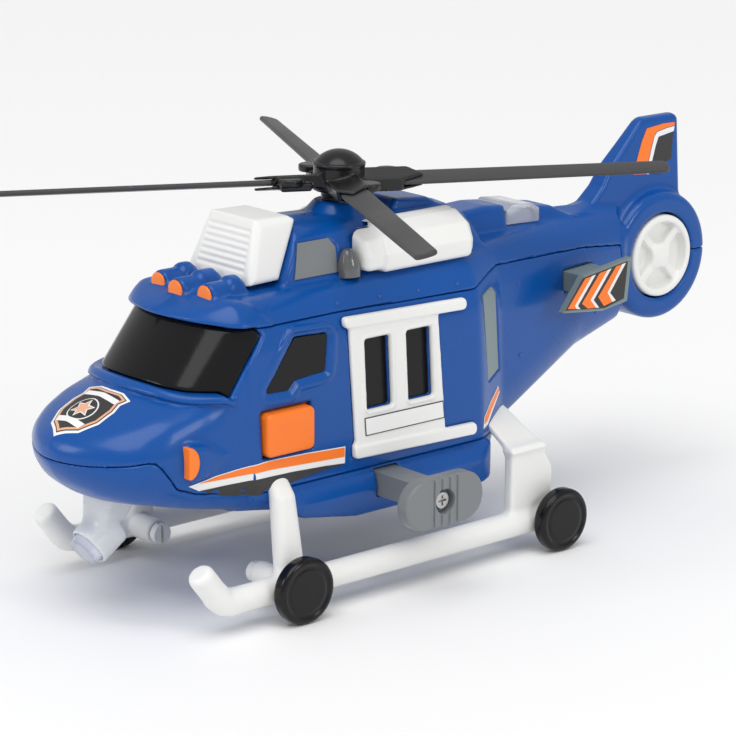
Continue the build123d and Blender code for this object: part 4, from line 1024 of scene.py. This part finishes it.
def sheet(outline, step):
    """The outline filled with triangles no larger than about step: points and faces, flat."""
    edge = []
    for (ax, ay), (bx, by) in zip(outline, outline[1:] + outline[:1]):
        count = max(1, math.ceil(math.hypot(bx - ax, by - ay) / step))
        edge += [(ax + (bx - ax) * i / count, ay + (by - ay) * i / count) for i in range(count)]
    us, vs = [p[0] for p in outline], [p[1] for p in outline]
    grid_u, grid_v = np.meshgrid(np.arange(min(us), max(us), step), np.arange(min(vs), max(vs), step))
    keep = polygon(grid_u, grid_v, list(outline)) < -0.4 * step
    points = edge + list(zip(grid_u[keep], grid_v[keep]))
    loops = [(i, (i + 1) % len(edge)) for i in range(len(edge))]
    flat = [Vector((float(u), float(v))) for u, v in points]
    verts, _, faces, *_ = delaunay_2d_cdt(flat, loops, [], 1, 1e-4)
    return [(v.x, v.y) for v in verts], [tuple(f) for f in faces]


def sticker(name, outline, material, lift, place, mirror=False, step=1.6):
    """A thin sheet laid on a surface: place turns (u, v, lift) into a point in mm."""
    flat, faces = sheet(outline, step)
    points = np.array([place(u, v, lift) for u, v in flat])
    faces = np.array(faces)
    a, b, c = (points[faces[:, i]] for i in range(3))
    facing = np.cross(b - a, c - a).sum(0)
    outward = np.array(place(*flat[0], lift + 1.0)) - np.array(place(*flat[0], lift))
    if np.dot(facing, outward) < 0:
        faces = faces[:, ::-1]
    dress(mesh_object(name, points, faces, None, mirror), material)


FIN_ORANGE = [(151.4, 124.4), (145.9, 124.5), (137.5, 123.7), (134.9, 119.5), (132.5, 114.0), (130.4, 108.6),
              (136.3, 108.0), (139.2, 116.1), (141.1, 120.7), (142.5, 122.1), (147.5, 122.9), (151.4, 123.2)]
FIN_WHITE = [(151.4, 123.0), (147.5, 122.7), (142.7, 121.9), (141.3, 120.6), (139.5, 116.1), (136.6, 108.0),
             (138.1, 107.8), (140.1, 113.0), (141.7, 117.2), (143.2, 120.2), (150.9, 121.3)]
FIN_BLACK = [(150.8, 121.0), (143.4, 120.0), (141.9, 117.2), (140.3, 113.0), (138.4, 107.8), (143.5, 107.2),
             (145.2, 110.2), (146.8, 111.2), (149.3, 111.9), (149.5, 113.4), (150.2, 118.2)]
SIDE_WHITE = [(-84.2, 45.3), (-80.8, 46.0), (-75.0, 47.1), (-66.7, 47.8), (-58.3, 48.2), (-49.8, 48.1),
              (-39.1, 47.8), (-24.6, 47.0), (-24.8, 41.6), (-32.8, 42.2), (-45.8, 43.0), (-58.6, 43.3),
              (-71.1, 43.4), (-80.4, 43.2)]
SIDE_ORANGE = [(-81.0, 45.7), (-75.0, 46.8), (-66.7, 47.5), (-58.3, 47.9), (-49.8, 47.8), (-39.1, 47.5),
               (-24.9, 46.7), (-25.0, 43.7), (-39.2, 44.5), (-53.4, 45.3), (-66.8, 45.5)]
SIDE_BLACK = [(-80.0, 43.3), (-77.4, 42.2), (-71.4, 39.9), (-65.2, 38.8), (-58.4, 37.9), (-54.7, 38.2),
              (-48.2, 39.4), (-42.5, 40.2), (-35.1, 40.8), (-25.4, 41.2), (-25.2, 41.6), (-32.8, 42.3),
              (-45.8, 43.0), (-58.6, 43.3), (-71.1, 43.4)]
REAR_WHITE = [(34.6, 41.4), (35.0, 45.2), (40.0, 48.8), (46.5, 52.6), (47.6, 50.2), (42.4, 45.6),
              (38.4, 42.0)]
REAR_ORANGE = [(35.2, 42.9), (35.4, 44.9), (40.2, 48.3), (46.4, 52.0), (47.1, 50.6), (41.6, 46.4),
               (37.6, 43.2)]
DOOR_PANEL = [(-17.0, 49.0), (16.2, 48.9), (15.9, 54.6), (-17.2, 54.8)]
PLATE_BLACK = [(80.3, 84.2), (101.6, 87.0), (100.2, 74.3), (91.0, 72.4), (72.6, 74.4)]
CHEVRONS = [
    (STICKER_ORANGE, [(81.4, 83.9), (84.6, 84.3), (77.0, 75.4), (77.8, 74.2), (73.6, 74.8)]),
    (STICKER_WHITE, [(84.6, 84.3), (86.4, 84.6), (78.4, 75.2), (79.6, 73.8), (77.8, 74.2), (77.0, 75.4)]),
    (STICKER_ORANGE, [(88.2, 84.8), (92.0, 85.3), (84.3, 76.2), (86.9, 73.2), (83.0, 73.5), (80.2, 75.6)]),
    (STICKER_WHITE, [(92.0, 85.3), (93.8, 85.6), (85.7, 76.0), (88.4, 73.0), (86.9, 73.2), (84.3, 76.2)]),
    (STICKER_ORANGE, [(95.9, 85.9), (98.9, 86.3), (92.2, 77.6), (94.6, 74.0), (90.6, 73.2), (87.8, 76.7)]),
    (STICKER_WHITE, [(98.9, 86.3), (100.6, 86.5), (93.4, 77.3), (96.2, 74.3), (94.6, 74.0), (92.2, 77.6)]),
]
SHIELD_HALF = [(0, 12.0), (5.5, 13.0), (10.4, 11.6), (9.4, 8.0), (10.4, 4.5), (10.2, -2.0),
               (7.0, -8.0), (3.0, -10.4), (0, -12.6)]
SHIELD = [(-10.4, 11.6), (-5.5, 13.0)] + SHIELD_HALF + [(-u, v) for u, v in SHIELD_HALF[-2:2:-1]]
RIVETS = [(-23.0, 91.2), (-6.0, 90.8), (10.0, 90.4), (26.5, 89.9), (60.0, 84.0), (60.0, 60.0), (104.0, 80.0),
          (104.0, 66.0)]


def rivets(tree):
    """Small raised heads along the seams of the hull, on both sides."""
    rings, sides = ((0.85, -0.3), (0.8, 0.15), (0.5, 0.4)), 12      # radius and height of each ring
    points, faces = [], []
    for y, z in RIVETS:
        hit, normal, *_ = tree.ray_cast(Vector((OUTSIDE, y, z)), Vector((-1, 0, 0)))
        across = normal.orthogonal().normalized()
        over = normal.cross(across)
        first = len(points)
        for radius, height in rings:
            for i in range(sides):
                turn = 2 * math.pi * i / sides
                offset = across * math.cos(turn) * radius + over * math.sin(turn) * radius
                points.append(tuple(hit + offset + normal * height))
        for ring in range(len(rings) - 1):
            for i in range(sides):
                a, b = first + ring * sides + i, first + ring * sides + (i + 1) % sides
                faces += [(a, b, b + sides), (a, b + sides, a + sides)]
        top = first + (len(rings) - 1) * sides
        faces += [(top, top + i, top + i + 1) for i in range(1, sides - 1)]
    for end, mirror in HULL_HALVES:
        dress(mesh_object(f"rivets_{end}", points, faces, None, mirror), BLUE)


def star(radius, inner, count=6):
    points = []
    for i in range(count * 2):
        r = radius if i % 2 == 0 else inner
        a = math.pi / 2 + i * math.pi / count
        points.append((r * math.cos(a), r * math.sin(a)))
    return points


def circle(radius, count=28):
    return [(radius * math.cos(2 * math.pi * i / count), radius * math.sin(2 * math.pi * i / count))
            for i in range(count)]


SINGLE, DOUBLE = 0.10, 0.18      # lift of one sticker layer and of a second one over it, mm
SIDE_STICKERS = [
    ("fin_orange", FIN_ORANGE, STICKER_ORANGE, SINGLE),
    ("fin_white", FIN_WHITE, STICKER_WHITE, SINGLE),
    ("fin_black", FIN_BLACK, STICKER_BLACK, SINGLE),
    ("side_white", SIDE_WHITE, STICKER_WHITE, SINGLE),
    ("side_orange", SIDE_ORANGE, STICKER_ORANGE, DOUBLE),
    ("side_black", SIDE_BLACK, STICKER_BLACK, DOUBLE),
    ("rear_white", REAR_WHITE, STICKER_WHITE, SINGLE),
    ("rear_orange", REAR_ORANGE, STICKER_ORANGE, DOUBLE),
]
DOOR_STICKERS = [
    ("door_line", DOOR_PANEL, STICKER_BLACK, 1.0),
    ("door_panel", inset(DOOR_PANEL, 0.35), STICKER_WHITE, 1.06),
]
PLATE_STICKERS = [("plate_black", PLATE_BLACK, STICKER_BLACK, SINGLE)]
PLATE_STICKERS += [(f"chevron_{i}", outline, material, DOUBLE)
                   for i, (material, outline) in enumerate(CHEVRONS)]
BADGE_LAYERS = [
    ("rim", SHIELD, STICKER_WHITE, 0.08),
    ("edge", inset(SHIELD, 0.9), STICKER_BLACK, 0.14),
    ("line", inset(SHIELD, 1.25), STICKER_SAND, 0.20),
    ("field", inset(SHIELD, 2.1), STICKER_BLACK, 0.26),
    ("ring", circle(5.4), STICKER_WHITE, 0.32),
    ("disc", circle(4.9), STICKER_BLACK, 0.38),
    ("star", star(4.4, 2.3), STICKER_WHITE, 0.44),
    ("star_core", star(3.6, 1.7), STICKER_SAND, 0.50),
    ("bar", [(-6.4, -4.6), (6.4, -4.6), (5.6, -7.0), (-5.6, -7.0)], STICKER_WHITE, 0.32),
    ("top_bar", [(-7.8, 7.0), (-7.8, 9.3), (7.8, 9.3), (7.8, 7.0)], STICKER_WHITE, 0.32),
]
BADGE_STATION, BADGE_STRETCH = -100.6, 0.86
PLATE_X = 29.8                            # outer face of the stabiliser's plate


def stickers():
    tree = hull_tree()

    def laid(start, ray, nearby, lift):
        """Where the ray meets the hull, lifted off it; if it misses, the hull's nearest point."""
        hit, normal, *_ = tree.ray_cast(start, Vector(ray))
        if hit is None:
            hit, normal, *_ = tree.find_nearest(nearby)
        return tuple(hit + normal * lift)

    def on_side(u, v, lift):
        return laid(Vector((OUTSIDE, u, v)), (-1, 0, 0), Vector((5.0, u, v)), lift)

    def on_leaf(u, v, lift):
        return (SIDE_X - (v - SIDE_Z) * math.tan(LEAN) + lift, u, v)

    def on_plate(u, v, lift):
        return (PLATE_X + lift, u, v)

    def on_hood(u, v, lift):
        over = Vector((u, BADGE_STATION + v * BADGE_STRETCH, OVER_HOOD))
        return laid(over, (0, 0, -1), over, lift)

    for group, place in ((SIDE_STICKERS, on_side), (DOOR_STICKERS, on_leaf), (PLATE_STICKERS, on_plate)):
        for (name, outline, material, lift), (end, mirror) in product(group, HULL_HALVES):
            sticker(f"sticker_{name}_{end}", outline, material, lift, place, mirror)
    for name, outline, material, lift in BADGE_LAYERS:
        sticker(f"badge_{name}", outline, material, lift, on_hood, step=1.0)
    return tree


# ---- pieces kept from the CAD
KEPT = {
    "cockpit_window": GLASS_BLACK, "door_glass": GLASS_BLACK, "intake_panel": MID_GREY_SET,
    "dome_lamp": SMOKY, "vent": GREY_GREEN, "stub_bar": MID_GREY_SET, "stabiliser": GREY_GREEN,
    "beacon_lens": CLEAR, "searchlight_lens": CLEAR, "rotor_shaft": STEEL,
    "rotor_clip": STEEL, "fan_axle": STEEL, "switch_body": CELL, "switch_plunger": WHITE_SET,
    "circuit_board": BOARD, "speaker": CELL, "leds": CLEAR, "wiring": WIRE, "batteries": CELL,
    "battery_contacts": STEEL, "battery_door": BLUE_SET, "screws": STEEL, "axle_pin_front": WHITE_SET,
    "axle_pin_rear": WHITE_SET,
}
WELD_GAP, CRISP_ANGLE = 0.002, 28      # mm, degrees


def kept_from_cad():
    """Materials and crisp shading for the CAD nodes that no moulding replaces."""
    for name, node in frame["nodes"].items():
        plain = name.replace("_left", "").replace("_right", "")
        if plain not in KEPT:
            continue
        node.data.materials.clear()
        node.data.materials.append(KEPT[plain])
        for face in node.data.polygons:
            face.material_index = 0
            face.use_smooth = True
        weld = node.modifiers.new("weld", "WELD")
        weld.merge_threshold = WELD_GAP * MM
        split = node.modifiers.new("split", "EDGE_SPLIT")
        split.split_angle = math.radians(CRISP_ANGLE)


def main():
    hull_mouldings()
    windscreen()
    door()
    intake_scoop()
    engine_cowl()
    push_button()
    lamp_lenses()
    skid()
    wheels()
    stub_plate()
    searchlight()
    rotor_blades()
    rotor_hub()
    tail_fan()
    kept_from_cad()
    rivets(stickers())


# ---- stage
def stage():
    bpy.ops.mesh.primitive_plane_add(size=6, location=(0, 0, 0))
    floor = bpy.context.object
    floor.name = "floor"
    material, _, shader = nodes_of("pale_floor")
    put(shader, {"Base Color": (0.93, 0.93, 0.93, 1), "Roughness": 0.7})
    floor.data.materials.append(material)


def lamp(data, facing, place=(0, 0, 0)):
    """A light of the stage that shines along -facing."""
    made = bpy.data.objects.new(data.name, data)
    made.location = place
    made.rotation_euler = Vector(facing).to_track_quat("Z", "Y").to_euler()
    bpy.context.scene.collection.objects.link(made)


def soft_light(name, place, size, power):
    """A rectangular light that faces the middle of the toy."""
    data = bpy.data.lights.new(name, "AREA")
    data.shape = "RECTANGLE"
    data.size, data.size_y = size
    data.energy = power
    lamp(data, Vector(place) - Vector((0, 0, 0.07)), place)


def lights():
    """Soft light all round, brighter where the camera sees it, a wide sun and two soft boxes."""
    world = bpy.data.worlds.new("studio")
    bpy.context.scene.world = world
    world.use_nodes = True
    tree = world.node_tree
    back = tree.nodes["Background"]
    put(back, {"Color": (1.0, 1.0, 1.0, 1)})
    path = tree.nodes.new("ShaderNodeLightPath")
    bright = tree.nodes.new("ShaderNodeMapRange")
    put(bright, {"To Min": 0.55, "To Max": 1.0})
    link(tree, path, "Is Camera Ray", bright, "Value")
    link(tree, bright, "Result", back, "Strength")
    sun = bpy.data.lights.new("wide_sun", "SUN")
    sun.energy, sun.angle = 1.5, math.radians(50)
    lamp(sun, (0.25, -0.35, 1.0))
    soft_light("front_box", (-0.35, -1.0, 0.5), (0.35, 0.35), 1.6)
    soft_light("side_box", (1.1, 0.2, 0.55), (0.3, 0.4), 2.2)


# Camera: degrees round from the nose, up, and rolled; mm from the point it looks at
AZIMUTH, ELEVATION, ROLL = 48.79, 15.05, 0.40
DISTANCE, AIM = 962.5, (0.0, 12.76, 59.01)
LENS, SENSOR = 145.07, 36.0


def camera():
    a, e = math.radians(AZIMUTH), math.radians(ELEVATION)
    away = Vector((math.sin(a) * math.cos(e), -math.cos(a) * math.cos(e), math.sin(e)))
    aim = Vector((AIM[0], AIM[1] + MAST_Y, AIM[2])) * MM
    data = bpy.data.cameras.new("camera")
    data.lens, data.sensor_width = LENS, SENSOR
    made = bpy.data.objects.new("camera", data)
    made.location = aim + away * (DISTANCE * MM)
    turn = (-away).to_track_quat("-Z", "Y").to_matrix() @ Matrix.Rotation(math.radians(ROLL), 3, "Z")
    made.rotation_euler = turn.to_euler()
    bpy.context.scene.collection.objects.link(made)
    bpy.context.scene.camera = made
    bpy.context.scene.view_settings.view_transform = "Standard"


main()
stage()
lights()
camera()
